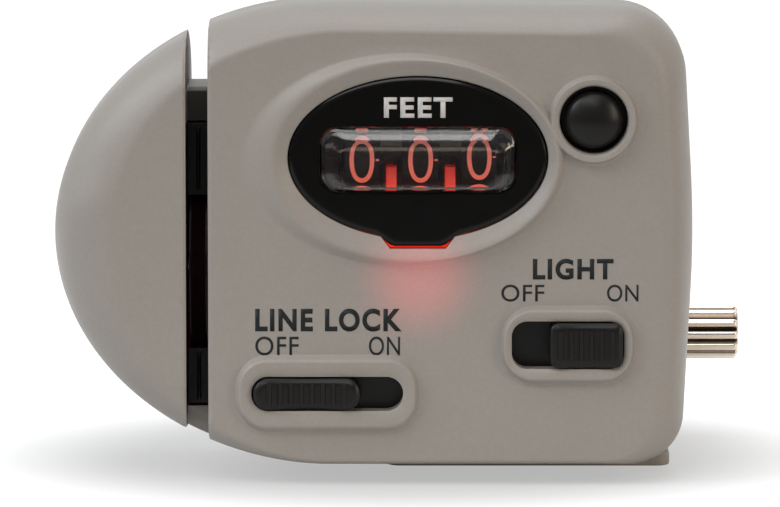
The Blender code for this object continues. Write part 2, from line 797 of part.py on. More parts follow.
def front_rims():
    """The raised surrounds of the display, the button and the two slide switches."""
    display = raised(
        "display_pad",
        oval(BEZEL_X + RING_SHIFT, BEZEL_Z, RING_A, RING_B),
        oval(BEZEL_X + RIDGE_SHIFT, BEZEL_Z, RIDGE_A, RIDGE_B),
    )
    button = raised(
        "button_pad",
        oval(BUTTON_X, BUTTON_Z, BUTTON_RING_R, BUTTON_RING_R, STEPS),
        oval(BUTTON_X, BUTTON_Z, BUTTON_RIDGE_R, BUTTON_RIDGE_R, STEPS),
    )
    pads = [display, button]
    rims = (
        ("lock_pad", LOCK_X, LOCK_Z, LOCK_RIM_LENGTH, LOCK_RIM_HEIGHT, LOCK_LENGTH, LOCK_HEIGHT),
        ("light_pad", LIGHT_X, LIGHT_Z, LIGHT_RIM_LENGTH, LIGHT_RIM_HEIGHT, LIGHT_LENGTH, LIGHT_HEIGHT),
    )
    for name, x, z, long, tall, inner_long, inner_tall in rims:
        low = rounded_box(x, z, long, tall, tall * RIM_CORNER_SHARE)
        ridge_tall = inner_tall + 2 * RIM_RIDGE
        top = rounded_box(x, z, inner_long + 2 * RIM_RIDGE, ridge_tall, ridge_tall * RIM_CORNER_SHARE)
        pads.append(loft(name, [at(low, WALL / 2), at(low, 0), at(top, -RIM_RISE)]))
    return pads


def front_bosses():
    """A post for each housing screw, from the wall to the parting face."""
    return [
        rod(f"front_boss_{k}", TO_Y, (x, 0, z), WALL * BOSS_ROOT_SHARE, PARTING_Y, BOSS_R, steps=FEW_STEPS)
        for k, (x, z) in enumerate(BOSSES)
    ]


def lever_pivot():
    """The stud that the reversing lever turns on."""
    return rod(
        "lever_pivot", TO_Y, (LEVER_X, 0, LEVER_Z), WALL / 2, LEVER_Y + LEVER_SHEET + GAP, PIVOT_R, steps=FEW_STEPS
    )


def slot_cutters():
    """What opens the line slot, the liner's recess, the wheel's chamber, the shaft's bores and the keeper's bore."""
    recess = HALF_SLOT + LINER_WALL + RUN
    channel = box("slot_channel", (-HALF_SLOT, -OVERRUN, -OVERRUN), (HALF_SLOT, FLOOR_Y, TOP_Z + OVERRUN))
    notch = box("notch", (-HALF_SLOT, -OVERRUN, BRIDGE_TOP), (HALF_SLOT, BACK_Y + OVERRUN, TOP_Z + OVERRUN))
    behind = PARTING_Y + CHEEK_REACH + OVERRUN
    liner = box("liner_recess", (-recess, LIP, LINER_BOTTOM), (recess, behind, LINER_TOP))
    bores = rod(
        "bush_bores", TO_X, (0, WHEEL_Y, WHEEL_Z), -WEB_X - OVERRUN, WEB_X + OVERRUN, BUSH_R + RUN, steps=STEPS
    )
    keeper = rod(
        "keeper_bore", TO_X, (0, KEEPER_Y, WHEEL_Z), -WEB_X - GAP, WEB_X + OVERRUN, KEEPER_BORE, steps=STEPS
    )
    return channel, notch, liner, bores, keeper


def face_openings():
    """The holes through the face for the display, the button and the two knobs, and the screws' pilot holes."""
    ridge = oval(BEZEL_X + RIDGE_SHIFT, BEZEL_Z, RIDGE_A - RIDGE_FLAT, RIDGE_B - RIDGE_FLAT)
    opening = oval(BEZEL_X, BEZEL_Z, BEZEL_A + RUN, BEZEL_B + RUN)
    display = loft(
        "display_opening",
        [at(ridge, -RING_RISE - RUN), at(opening, 0), at(opening, WALL + OVERRUN / 2)],
    )
    tab = sheet("tab_opening", tab_outline(GAP * 2), -WALL - OVERRUN / 2, OVERRUN, FLAT_XZ)
    button = rod(
        "button_hole", TO_Y, (BUTTON_X, 0, BUTTON_Z), -OVERRUN, WALL + OVERRUN / 2, BUTTON_HOLE_R
    )
    lock = sheet(
        "lock_opening",
        rounded_box(LOCK_X, LOCK_Z, LOCK_LENGTH, LOCK_HEIGHT, LOCK_HEIGHT * STADIUM_SHARE),
        -WALL - OVERRUN / 2,
        OVERRUN,
        FLAT_XZ,
    )
    light = sheet(
        "light_opening",
        rounded_box(LIGHT_X, LIGHT_Z, LIGHT_LENGTH, LIGHT_HEIGHT, LIGHT_HEIGHT * LIGHT_CORNER_SHARE),
        -WALL - OVERRUN / 2,
        OVERRUN,
        FLAT_XZ,
    )
    pilots = [
        rod(
            f"pilot_{k}",
            TO_Y,
            (x, 0, z),
            PARTING_Y - SCREW_BITE - GAP,
            PARTING_Y + OVERRUN,
            SCREW_SHANK_R + RUN,
            steps=FEW_STEPS,
        )
        for k, (x, z) in enumerate(BOSSES)
    ]
    return display, tab, button, lock, light, *pilots


def tab_outline(grow):
    """The bezel's lower tab, or the opening round it when grown."""
    top = BEZEL_Z - BEZEL_B + BEZEL_SET * 7
    return [
        (BEZEL_X - TAB_TOP / 2 - grow, top),
        (BEZEL_X - TAB_LOW / 2 - grow, TAB_Z - grow),
        (BEZEL_X + TAB_LOW / 2 + grow, TAB_Z - grow),
        (BEZEL_X + TAB_TOP / 2 + grow, top),
    ]


# Rear shell


def rear_shell():
    """The moulded back, with the notch's walls, the screw posts and the coin cell's cup."""
    shell = loft("rear_shell", back_rings(), GREY, capped=False)
    back = bmesh.new()
    back.from_mesh(shell.data)
    back.verts.ensure_lookup_table()
    count = len(housing_outline())
    back.faces.new(back.verts[-count:])
    bmesh.ops.recalc_face_normals(back, faces=back.faces)
    back.to_mesh(shell.data)
    back.free()
    hollow(shell)
    webs = box(
        "rear_webs",
        (-WEB_X, PARTING_Y + GAP, BRIDGE_TOP - NOTCH_DROP - WALL),
        (WEB_X, BACK_Y + OVERRUN, TOP_Z),
    )
    boolean(webs, loft("rear_form", back_rings(WALL / 2)), "INTERSECT")
    posts = [
        rod(
            f"rear_boss_{k}",
            TO_Y,
            (x, 0, z),
            PARTING_Y + GAP,
            BACK_Y - WALL / 2,
            REAR_BOSS_R,
            steps=FEW_STEPS,
        )
        for k, (x, z) in enumerate(BOSSES)
    ]
    cup = turned(
        "cell_cup",
        TO_Y,
        (CELL_X, 0, CELL_Z),
        [
            (CELL_R + RUN + CUP_WALL, BACK_Y - WALL / 2),
            (CELL_R + RUN + CUP_WALL, CELL_FRONT - GAP - CUP_LIP),
            (CELL_R - CUP_WALL, CELL_FRONT - GAP - CUP_LIP),
            (CELL_R - CUP_WALL, CELL_FRONT - GAP),
            (CELL_R + GAP, CELL_FRONT - GAP),
            (CELL_R + GAP, BACK_Y - WALL / 2),
        ],
        steps=FINE_STEPS,
        ring=True,
    )
    join(shell, webs, cup, *posts)
    notch = box(
        "rear_notch", (-HALF_SLOT, PARTING_Y - OVERRUN, BRIDGE_TOP), (HALF_SLOT, BACK_Y + OVERRUN, TOP_Z + OVERRUN)
    )
    drop = box(
        "notch_drop",
        (-HALF_SLOT, BRIDGE_BACK, BRIDGE_TOP - NOTCH_DROP),
        (HALF_SLOT, BACK_Y + OVERRUN, BRIDGE_TOP + OVERRUN),
    )
    door = rod(
        "door_opening", TO_Y, (CELL_X, 0, CELL_Z), CELL_BACK, BACK_Y + OVERRUN, DOOR_R, steps=FINE_STEPS
    )
    holes = []
    for k, (x, z) in enumerate(BOSSES):
        holes.append(
            rod(
                f"screw_way_{k}",
                TO_Y,
                (x, 0, z),
                PARTING_Y - OVERRUN,
                BACK_Y + OVERRUN,
                SCREW_SHANK_R + RUN,
                steps=FEW_STEPS,
            )
        )
        holes.append(
            rod(
                f"screw_head_way_{k}",
                TO_Y,
                (x, 0, z),
                BACK_Y - HEAD_SINK - SCREW_HEAD - GAP,
                BACK_Y + OVERRUN,
                SCREW_HEAD_R + RUN,
                steps=FEW_STEPS,
            )
        )
    for k, z in enumerate(base_screw_heights()):
        start = BACK_Y - WALL - OVERRUN
        holes.append(
            rod(
                f"clamp_pilot_{k}",
                TO_Y,
                (base_screw_x(), 0, z),
                start,
                BACK_Y + OVERRUN,
                SCREW_SHANK_R + RUN,
                steps=FEW_STEPS,
            )
        )
    return cut(shell, notch, drop, door, *holes)


def housing_screws():
    """The screws that hold the two shells together, from the back."""
    for k, (x, z) in enumerate(BOSSES):
        end = BACK_Y - HEAD_SINK
        screw = turned(
            f"housing_screw_{k + 1}",
            TO_Y,
            (x, 0, z),
            [
                (0, end),
                (SCREW_HEAD_R * SCREW_SOCKET_SHARE, end),
                (SCREW_HEAD_R, end - SCREW_HEAD / 3),
                (SCREW_HEAD_R, end - SCREW_HEAD),
                (SCREW_SHANK_R, end - SCREW_HEAD),
                (SCREW_SHANK_R, PARTING_Y - SCREW_BITE + SCREW_SHANK_R),
                (0, PARTING_Y - SCREW_BITE),
            ],
            STEEL,
            steps=FEW_STEPS,
        )
        slot = box(
            f"screw_slot_{k + 1}",
            (x - SCREW_HEAD_R - RUN, end - SCREW_HEAD / 2, z - RUN * 1.5),
            (x + SCREW_HEAD_R + RUN, end + OVERRUN, z + RUN * 1.5),
        )
        cut(screw, slot)


# Line channel and measuring wheel


def line_channel():
    """The black liner of the slot: two thin walls and a floor with the wheel's window."""
    outer = HALF_SLOT + LINER_WALL
    low = LINER_BOTTOM + GAP
    high = LINER_TOP - GAP
    liner = box("line_channel", (-outer, LIP + GAP, low), (outer, FLOOR_Y + LINER_FLOOR, high), BLACK)
    channel = box("channel_way", (-HALF_SLOT, -OVERRUN, low - OVERRUN), (HALF_SLOT, FLOOR_Y, high + OVERRUN))
    window = sqrt((WHEEL_R + CHAMBER_GAP) ** 2 - (WHEEL_Y - FLOOR_Y - LINER_FLOOR) ** 2)
    wheel_way = box(
        "wheel_window",
        (-HALF_SLOT, FLOOR_Y - LINER_FLOOR, WHEEL_Z - window),
        (HALF_SLOT, FLOOR_Y + OVERRUN, WHEEL_Z + window),
    )
    keeper = rod(
        "liner_keeper_way", TO_X, (0, KEEPER_Y, WHEEL_Z), -outer - OVERRUN, outer + OVERRUN, KEEPER_BORE
    )
    return cut(liner, channel, wheel_way, keeper)


def measuring_wheel():
    """The grooved wheel that the line turns, on its shaft with the first pinion."""
    half = WHEEL_WIDTH / 2
    bore = SHAFT_R + RUN
    hub = SHAFT_R * 2.5
    rim = WHEEL_R - DRUM_RIM
    web = half / 2
    turned(
        "measuring_wheel",
        TO_X,
        (0, WHEEL_Y, WHEEL_Z),
        [
            (bore, half),
            (hub, half),
            (hub, web),
            (rim, web),
            (rim, half),
            (WHEEL_R, half),
            (WHEEL_R, half * 0.8),
            (WHEEL_R - GROOVE, 0),
            (WHEEL_R, -half * 0.8),
            (WHEEL_R, -half),
            (rim, -half),
            (rim, -web),
            (hub, -web),
            (hub, -half),
            (bore, -half),
        ],
        BLACK,
        steps=FINE_STEPS,
        ring=True,
    )
    toward = meshing(WHEEL_AXIS, FIRST_AXIS)
    shaft = rod(
        "wheel_shaft",
        TO_X,
        (0, WHEEL_Y, WHEEL_Z),
        -WEB_X - GAP,
        PLANES[0] + GEAR_FACE + GAP,
        SHAFT_R,
        STEEL,
    )
    pinion = sheet(
        "wheel_pinion",
        gear_outline(PINION_TEETH, MODULE, toward),
        PLANES[0],
        PLANES[0] + GEAR_FACE,
        FLAT_YZ,
        origin=(0, WHEEL_Y, WHEEL_Z),
    )
    join(shaft, pinion)


def wheel_bushes():
    """A flanged bush in each of the slot's webs."""
    for name, side in (("wheel_bush_left", -1), ("wheel_bush_right", 1)):
        bore = SHAFT_R + RUN / 2
        flange = HALF_SLOT + RUN
        profile = [
            (bore, flange),
            (BUSH_FLANGE_R, flange),
            (BUSH_FLANGE_R, flange + BUSH_FLANGE),
            (BUSH_R, flange + BUSH_FLANGE),
            (BUSH_R, WEB_X),
            (bore, WEB_X),
        ]
        if side < 0:
            profile = [(radius, -along) for radius, along in profile]
        else:
            profile.reverse()
        turned(name, TO_X, (0, WHEEL_Y, WHEEL_Z), profile, BRASS, steps=STEPS, ring=True)


# Gear train


def gear_plate():
    """The plate on the right web that carries the studs of the two reduction gears."""
    low = WEB_X + GAP
    high = low + GEAR_PLATE
    margin = STUD_R * 3
    corners = [
        (WHEEL_Y - margin * 1.6, WHEEL_Z - margin, margin),
        (FIRST_AXIS[0] + margin * 1.6, WHEEL_Z - margin, margin),
        (FIRST_AXIS[0] + margin * 1.6, SECOND_AXIS[1] + margin, margin),
        (SECOND_AXIS[0] - margin * 1.6, SECOND_AXIS[1] + margin, margin),
    ]
    plate = sheet("gear_plate", rounded(corners), low, high, FLAT_YZ, STEEL)
    first = rod("first_stud", TO_X, (0, *FIRST_AXIS), low + GEAR_PLATE / 2, PLANES[1] + GEAR_FACE + GAP, STUD_R)
    second = rod("second_stud", TO_X, (0, *SECOND_AXIS), low + GEAR_PLATE / 2, PLANES[2] + GEAR_FACE + GAP, STUD_R)
    way = rod("bush_way", TO_X, (0, WHEEL_Y, WHEEL_Z), low - OVERRUN, high + OVERRUN, SHAFT_R + GAP * 1.5)
    cut(join(plate, first, second), way)


def compound_gear(name, axis, wheel_plane, wheel_from, pinion_teeth, pinion_to):
    """A large gear and a pinion in one piece, turning on a stud."""
    far = wheel_plane + GEAR_STEP + GEAR_FACE
    pitch = pi / WHEEL_TEETH
    phase = meshing(axis, wheel_from) + pitch
    origin = (0, *axis)
    gear = sheet(
        name,
        gear_outline(WHEEL_TEETH, MODULE, phase),
        wheel_plane,
        wheel_plane + GEAR_FACE,
        FLAT_YZ,
        WHITE_GEAR,
        origin,
    )
    pinion = sheet(
        f"{name}_pinion",
        gear_outline(pinion_teeth, MODULE, meshing(axis, pinion_to)),
        wheel_plane + GEAR_FACE / 2,
        far,
        FLAT_YZ,
        origin=origin,
    )
    bore = rod(f"{name}_bore", TO_X, origin, wheel_plane - OVERRUN, far + OVERRUN, STUD_R + RUN)
    return cut(join(gear, pinion), bore)


def gear_train():
    """The two reduction gears between the wheel's shaft and the digit shaft."""
    compound_gear("first_reduction_gear", FIRST_AXIS, PLANES[0], WHEEL_AXIS, PINION_TEETH, SECOND_AXIS)
    compound_gear("second_reduction_gear", SECOND_AXIS, PLANES[1], FIRST_AXIS, LAST_PINION_TEETH, DRUM_AXIS)


# Counter


def counter_frame():
    """Two cheeks and a bar that hold the drums, with an ear behind the reset button as the spring's seat."""
    foot = WALL + GAP
    low = FRAME_LOW + FRAME_BAR
    window_low = BEZEL_Z - LENS_HEIGHT
    window_high = BEZEL_Z + LENS_HEIGHT
    corners = [
        (DRUM_Y, FRAME_LOW, 0),
        (FRAME_BACK, FRAME_LOW, 1.5 * FRAME_BAR),
        (FRAME_BACK, FRAME_HIGH, 2 * FRAME_BAR),
        (DRUM_Y - FRAME_BAR, FRAME_HIGH, 2 * FRAME_BAR),
        (foot, window_high + FRAME_BAR, 0),
        (foot, window_high, 0),
        (foot + FRAME_BAR, window_high, 0),
        (foot + FRAME_BAR, window_low, 0),
        (foot, window_low, 0),
        (foot, window_low - FRAME_BAR, 0),
    ]
    outline = rounded(corners, 3)
    left = sheet("counter_frame", outline, FRAME_LEFT, FRAME_LEFT + FRAME_SHEET, FLAT_YZ, BLACK)
    right = sheet("frame_right", outline, FRAME_RIGHT, FRAME_RIGHT + FRAME_SHEET, FLAT_YZ)
    bar = box(
        "frame_bar",
        (FRAME_LEFT + FRAME_SHEET / 2, DRUM_Y - FRAME_BAR, FRAME_LOW),
        (FRAME_RIGHT + FRAME_SHEET / 2, DRUM_Y + 2 * FRAME_BAR, low),
    )
    ear = box(
        "frame_ear",
        (FRAME_RIGHT + FRAME_SHEET / 2, SPRING_SEAT_Y, BUTTON_Z - BUTTON_HOLE_R),
        (BUTTON_X + BUTTON_HOLE_R, SPRING_SEAT_Y + FRAME_SHEET, BUTTON_Z + BUTTON_HOLE_R),
    )
    join(left, right, bar, ear)
    reach = (FRAME_LEFT - OVERRUN, FRAME_RIGHT + OVERRUN)
    cut(
        left,
        rod("digit_shaft_bore", TO_X, (0, DRUM_Y, DRUM_Z), *reach, DIGIT_SHAFT_R + RUN),
        rod("carry_shaft_bore", TO_X, (0, *CARRY_AXIS), *reach, STUD_R + RUN),
        rod("comb_bore", TO_X, (0, COMB_Y, COMB_Z), *reach, COMB_ROD_R + RUN),
        rod(
            "plunger_way",
            TO_Y,
            (BUTTON_X, 0, BUTTON_Z),
            SPRING_SEAT_Y - OVERRUN,
            SPRING_SEAT_Y + OVERRUN,
            PLUNGER_R + RUN,
        ),
    )


def digit_shaft():
    """The shaft of the drums, with the last gear of the train on its left end."""
    phase = meshing(DRUM_AXIS, SECOND_AXIS) + pi / LAST_TEETH
    shaft = rod(
        "digit_shaft",
        TO_X,
        (0, DRUM_Y, DRUM_Z),
        PLANES[2],
        FRAME_RIGHT + FRAME_SHEET + GAP,
        DIGIT_SHAFT_R,
        STEEL,
    )
    sheet_gear = sheet(
        "digit_gear_form",
        gear_outline(LAST_TEETH, MODULE, phase),
        PLANES[2],
        PLANES[2] + GEAR_FACE,
        FLAT_YZ,
        origin=(0, DRUM_Y, DRUM_Z),
    )
    join(shaft, sheet_gear)


def heart_outline():
    """The heart cam: lowest where the comb's foot meets it, rising evenly to the far side."""
    points = []
    for k in range(STEPS):
        angle = 2 * pi * k / STEPS
        share = min(angle, 2 * pi - angle) / pi
        radius = HEART_LOW + (HEART_HIGH - HEART_LOW) * share
        points.append((radius * cos(angle + pi / 2), radius * sin(angle + pi / 2)))
    return points


def catch_outline():
    """The two-tooth catch that moves the next drum on once a turn."""
    tip = CARRY_MODULE * (CARRY_TEETH / 2 + TOOTH_TIP_SHARE)
    root = HEART_HIGH
    pitch = 2 * pi / CARRY_TEETH
    points = [(0, 0)]
    for tooth in (0, 1):
        for radius, share in (
            (root, -ROOT_WIDTH_SHARE),
            (tip, -TIP_WIDTH_SHARE),
            (tip, TIP_WIDTH_SHARE),
            (root, ROOT_WIDTH_SHARE),
        ):
            angle = CATCH_AT + (tooth + share) * pitch
            points.append((radius * cos(angle), radius * sin(angle)))
    return points


def digit_drum(name, left, geared):
    """One drum: rim, web and hub, a heart cam and a catch on its left, and a carry gear on its right if it is driven."""
    right = left + DRUM_WIDTH
    origin = (0, DRUM_Y, DRUM_Z)
    middle = (left + right) / 2
    bore = DIGIT_SHAFT_R + RUN
    inner = DRUM_R - DRUM_RIM
    profile = [
        (bore, right),
        (DRUM_HUB_R, right),
        (DRUM_HUB_R, middle + DRUM_WEB / 2),
        (inner, middle + DRUM_WEB / 2),
        (inner, right),
        (DRUM_R, right),
        (DRUM_R, left),
        (inner, left),
        (inner, middle - DRUM_WEB / 2),
        (DRUM_HUB_R, middle - DRUM_WEB / 2),
        (DRUM_HUB_R, left),
        (bore, left),
    ]
    drum = turned(name, TO_X, origin, profile, DRUM_BLACK, steps=FINE_STEPS, ring=True)
    tools = []
    face = left - DRUM_GAP
    catch_low = face + CATCH_START
    heart_low = face + HEART_START
    tools.append(
        rod(f"{name}_hub", TO_X, origin, heart_low + HEART_FACE / 2, middle, DRUM_HUB_R + DRUM_RIM / 2, steps=STEPS)
    )
    tools.append(sheet(f"{name}_heart", heart_outline(), heart_low, heart_low + HEART_FACE, FLAT_YZ, origin=origin))
    tools.append(sheet(f"{name}_catch", catch_outline(), catch_low, left + DRUM_RIM / 2, FLAT_YZ, origin=origin))
    tools.append(rod(f"{name}_catch_web", TO_X, origin, left - GAP / 2, middle, HEART_HIGH, steps=STEPS))
    if geared:
        phase = meshing(DRUM_AXIS, CARRY_AXIS) + pi / CARRY_TEETH
        gear = gear_outline(CARRY_TEETH, CARRY_MODULE, phase)
        tools.append(sheet(f"{name}_gear", gear, middle, right + CARRY_FACE, FLAT_YZ, origin=origin))
    way = rod(f"{name}_bore", TO_X, origin, face - OVERRUN, right + OVERRUN, bore, steps=STEPS)
    return cut(join(drum, *tools), way)


def carry_pinions():
    """The pinion in each gap between drums, on its own fixed shaft."""
    rod(
        "carry_shaft",
        TO_X,
        (0, *CARRY_AXIS),
        FRAME_LEFT - GAP,
        FRAME_RIGHT + FRAME_SHEET + GAP,
        STUD_R,
        STEEL,
    )
    phase = meshing(CARRY_AXIS, DRUM_AXIS)
    for name, left in (("hundreds_carry_pinion", DRUM_LEFTS[1]), ("tens_carry_pinion", DRUM_LEFTS[2])):
        gear = sheet(
            name,
            gear_outline(CARRY_PINION_TEETH, CARRY_MODULE, phase),
            left - DRUM_GAP + RUN,
            left - DRUM_GAP + CATCH_START - RUN,
            FLAT_YZ,
            WHITE_GEAR,
            (0, *CARRY_AXIS),
        )
        bore = rod(f"{name}_bore", TO_X, (0, *CARRY_AXIS), left - DRUM_GAP - OVERRUN, left + OVERRUN, STUD_R + RUN)
        cut(gear, bore)


# Display


def display():
    """The black bezel with its tab, and the clear lens over its window."""
    front = -BEZEL_SET
    back = front + BEZEL_THICK
    bezel = loft(
        "display_bezel",
        [
            at(oval(BEZEL_X, BEZEL_Z, BEZEL_A - BEZEL_SET, BEZEL_B - BEZEL_SET), front),
            at(oval(BEZEL_X, BEZEL_Z, BEZEL_A, BEZEL_B), front + BEZEL_SET),
            at(oval(BEZEL_X, BEZEL_Z, BEZEL_A, BEZEL_B), back),
        ],
        BLACK,
    )
    tab = sheet("bezel_tab", tab_outline(0), -back, -front - BEZEL_SET / 2, FLAT_XZ)
    window = sheet(
        "bezel_window",
        rounded_box(
            BEZEL_X, BEZEL_Z, LENS_WIDTH - 2 * LENS_SEAT, LENS_HEIGHT - 2 * LENS_SEAT, LENS_CORNER - LENS_SEAT
        ),
        -OVERRUN,
        OVERRUN,
        FLAT_XZ,
    )
    seat_outline = rounded_box(BEZEL_X, BEZEL_Z, LENS_WIDTH + RUN, LENS_HEIGHT + RUN, LENS_CORNER)
    seat = sheet("lens_seat", seat_outline, -front - BEZEL_THICK / 2, OVERRUN, FLAT_XZ)
    cut(join(bezel, tab), window, seat)
    edge = rounded_box(BEZEL_X, BEZEL_Z, LENS_WIDTH - RUN, LENS_HEIGHT - RUN, LENS_CORNER)
    rings = [at(edge, front + along) for along in (BEZEL_THICK / 2 - RUN, -LENS_RISE / 3)]
    shrink = LENS_RISE
    rings.append(
        at(
            rounded_box(
                BEZEL_X, BEZEL_Z, LENS_WIDTH - 2 * shrink, LENS_HEIGHT - 2 * shrink, LENS_CORNER - shrink
            ),
            front - LENS_RISE,
        )
    )
    loft("lens", rings, CLEAR)


def light_guide():
    """The red guide behind the bezel's tab, with a prong up each gap between the drums, and the lamp under it."""
    back = GUIDE_FRONT + GUIDE_DEEP
    guide = box(
        "light_guide",
        (BEZEL_X - GUIDE_HALF, GUIDE_FRONT, GUIDE_LOW),
        (BEZEL_X + GUIDE_HALF, back, GUIDE_HIGH),
        RED_CLEAR,
    )
    for k, left in enumerate(DRUM_LEFTS[1:]):
        middle = left - DRUM_GAP / 2
        prong = box(
            f"prong_{k}",
            (middle - PRONG / 2, GUIDE_FRONT, GUIDE_LOW + PRONG),
            (middle + PRONG / 2, GUIDE_FRONT + PRONG_DEEP, PRONG_TOP),
        )
        join(guide, prong)
    foot = GUIDE_LOW - GAP - LED_TALL
    lamp = turned(
        "lamp",
        TO_Z,
        (BEZEL_X, GUIDE_FRONT + LED_R + RUN, foot),
        [
            (0, LED_TALL),
            (LED_R * 0.7, LED_TALL - LED_R * 0.3),
            (LED_R, LED_TALL - LED_R),
            (LED_R, BOARD),
            (LED_R + RUN, BOARD),
            (LED_R + RUN, 0),
            (0, 0),
        ],
        RED_CLEAR,
        steps=FEW_STEPS,
    )
    legs = box(
        "lamp_legs",
        (BEZEL_X - LED_R * 0.8, GUIDE_FRONT + LED_R, foot + BOARD / 4),
        (BEZEL_X + LED_R * 0.8, BOARD_FRONT - GAP, foot + BOARD * 0.75),
    )
    join(lamp, legs)


# Reset


def reset_button():
    """The button with its flange and plunger, and the spring round the plunger."""
    flange = WALL + GAP
    turned(
        "reset_button",
        TO_Y,
        (BUTTON_X, 0, BUTTON_Z),
        [
            (0, PLUNGER_END),
            (PLUNGER_R, PLUNGER_END),
            (PLUNGER_R, flange + BUTTON_FLANGE),
            (BUTTON_FLANGE_R, flange + BUTTON_FLANGE),
            (BUTTON_FLANGE_R, flange),
            (BUTTON_R, flange),
            (BUTTON_R, -BUTTON_PROUD / 2),
            *[(BUTTON_R * across, -BUTTON_PROUD * along) for across, along in CAP_EDGE_SHARES],
            (0, -BUTTON_PROUD),
        ],
        BLACK,
        steps=STEPS,
    )
    start = flange + BUTTON_FLANGE + SPRING_WIRE + RUN
    end = SPRING_SEAT_Y - SPRING_WIRE - RUN
    curve = bpy.data.curves.new("reset_spring", "CURVE")
    curve.dimensions = "3D"
    curve.bevel_depth = SPRING_WIRE
    curve.bevel_resolution = 1
    curve.use_fill_caps = True
    curve.materials.append(STEEL)
    line = curve.splines.new("POLY")
    count = SPRING_TURNS * COIL_STEPS
    line.points.add(count)
    for k, point in enumerate(line.points):
        angle = 2 * pi * k / COIL_STEPS
        along = start + (end - start) * k / count
        point.co = (BUTTON_X + SPRING_R * cos(angle), along, BUTTON_Z + SPRING_R * sin(angle), 1)
    spring = bpy.data.objects.new("reset_spring", curve)
    spring.parent = ROOT
    PARTS.objects.link(spring)


def reset_comb():
    """The rocking comb: a rod in the frame's cheeks, a finger over each heart cam and an arm behind the button."""
    origin = (0, COMB_Y, COMB_Z)
    arm_left = BUTTON_X - COMB_ARM / 2
    comb = rod(
        "reset_comb", TO_X, origin, FRAME_LEFT - GAP, arm_left + COMB_ARM, COMB_ROD_R, STEEL, steps=FEW_STEPS
    )
    foot = HEART_HIGH + COMB_CLEAR + DRUM_Z - COMB_Z
    top = COMB_BAR / 2
    finger = [
        (COMB_ROD_R / 2, top),
        (-COMB_REACH, top),
        (-COMB_REACH, foot),
        (-COMB_REACH + COMB_FOOT, foot),
        (-COMB_REACH + COMB_FOOT, -top),
        (COMB_ROD_R / 2, -top),
    ]
    tools = []
    for k, left in enumerate(DRUM_LEFTS):
        start = left - DRUM_GAP + HEART_START + (HEART_FACE - COMB_FINGER) / 2
        tools.append(sheet(f"comb_finger_{k}", finger, start, start + COMB_FINGER, FLAT_YZ, origin=origin))
    contact = PLUNGER_END + GAP - COMB_Y
    low = BUTTON_Z - PLUNGER_R - COMB_Z
    high = BUTTON_Z + PLUNGER_R - COMB_Z
    arm = [
        (COMB_ROD_R / 2, top),
        (-COMB_ROD_R, top),
        (contact, high),
        (contact, low),
        (contact + COMB_BAR, low),
        (contact + COMB_BAR * 1.5, high - COMB_BAR / 2),
        (COMB_ROD_R / 2, -top),
    ]
    tools.append(sheet("comb_arm", arm, arm_left, arm_left + COMB_ARM, FLAT_YZ, origin=origin))
    join(comb, *tools)


# Line lock


def ribbed_knob(name, left, right, z, height, pitch, plate_left, plate_right, plate_height):
    """A finger knob with upright ribs, on a plate behind the wall that keeps it in."""
    front = -KNOB_PROUD
    count = int((right - left - height * 0.4) / pitch)
    knob = sheet(
        name,
        rounded_box((left + right) / 2, z, right - left, height, height * RIM_CORNER_SHARE),
        -WALL - GAP - KNOB_PLATE / 2,
        -front - KNOB_RIB,
        FLAT_XZ,
        BLACK,
    )
    first = (left + right) / 2 - pitch * (count - 1) / 2
    for k in range(count):
        x = first + pitch * k
        join(
            knob,
            box(
                f"{name}_rib_{k}",
                (x - pitch / 4, front, z - height * KNOB_RIB_SHARE),
                (x + pitch / 4, front + KNOB_RIB * 2, z + height * KNOB_RIB_SHARE),
            ),
        )
    plate = box(
        f"{name}_plate",
        (plate_left, WALL + GAP, z - plate_height / 2),
        (plate_right, WALL + GAP + KNOB_PLATE, z + plate_height / 2),
    )
    return join(knob, plate)


def line_lock():
    """The knob, the carriage behind it, the reversing lever, and the keeper with its roller."""
    left = LOCK_X - LOCK_LENGTH / 2 + RUN * 1.5
    right = left + LOCK_KNOB
    plate_tall = LOCK_HEIGHT + 2 * RIM_RIDGE
    ribbed_knob(
        "lock_knob",
        left,
        right,
        LOCK_Z,
        LOCK_HEIGHT - 2 * RUN,
        LOCK_RIB_PITCH,
        CARRIAGE_LEFT,
        right + LOCK_PLATE_END,
        plate_tall,
    )
    front = PLATE_BACK + GAP
    back = front + CARRIAGE_DEEP
    carriage = box(
        "lock_carriage",
        (CARRIAGE_LEFT, front, LOCK_Z - CARRIAGE_HEIGHT / 2),
        (right + LOCK_PLATE_END, back, LOCK_Z + CARRIAGE_HEIGHT / 2),
        BLACK,
    )
    peg = rod(
        "carriage_peg",
        TO_Y,
        (CARRY_PEG_X, 0, LOCK_Z),
        back - CARRIAGE_DEEP / 2,
        LEVER_Y + LEVER_SHEET,
        PEG_R,
        steps=FEW_STEPS,
    )
    join(carriage, peg)
    reversing_lever()
    keeper()


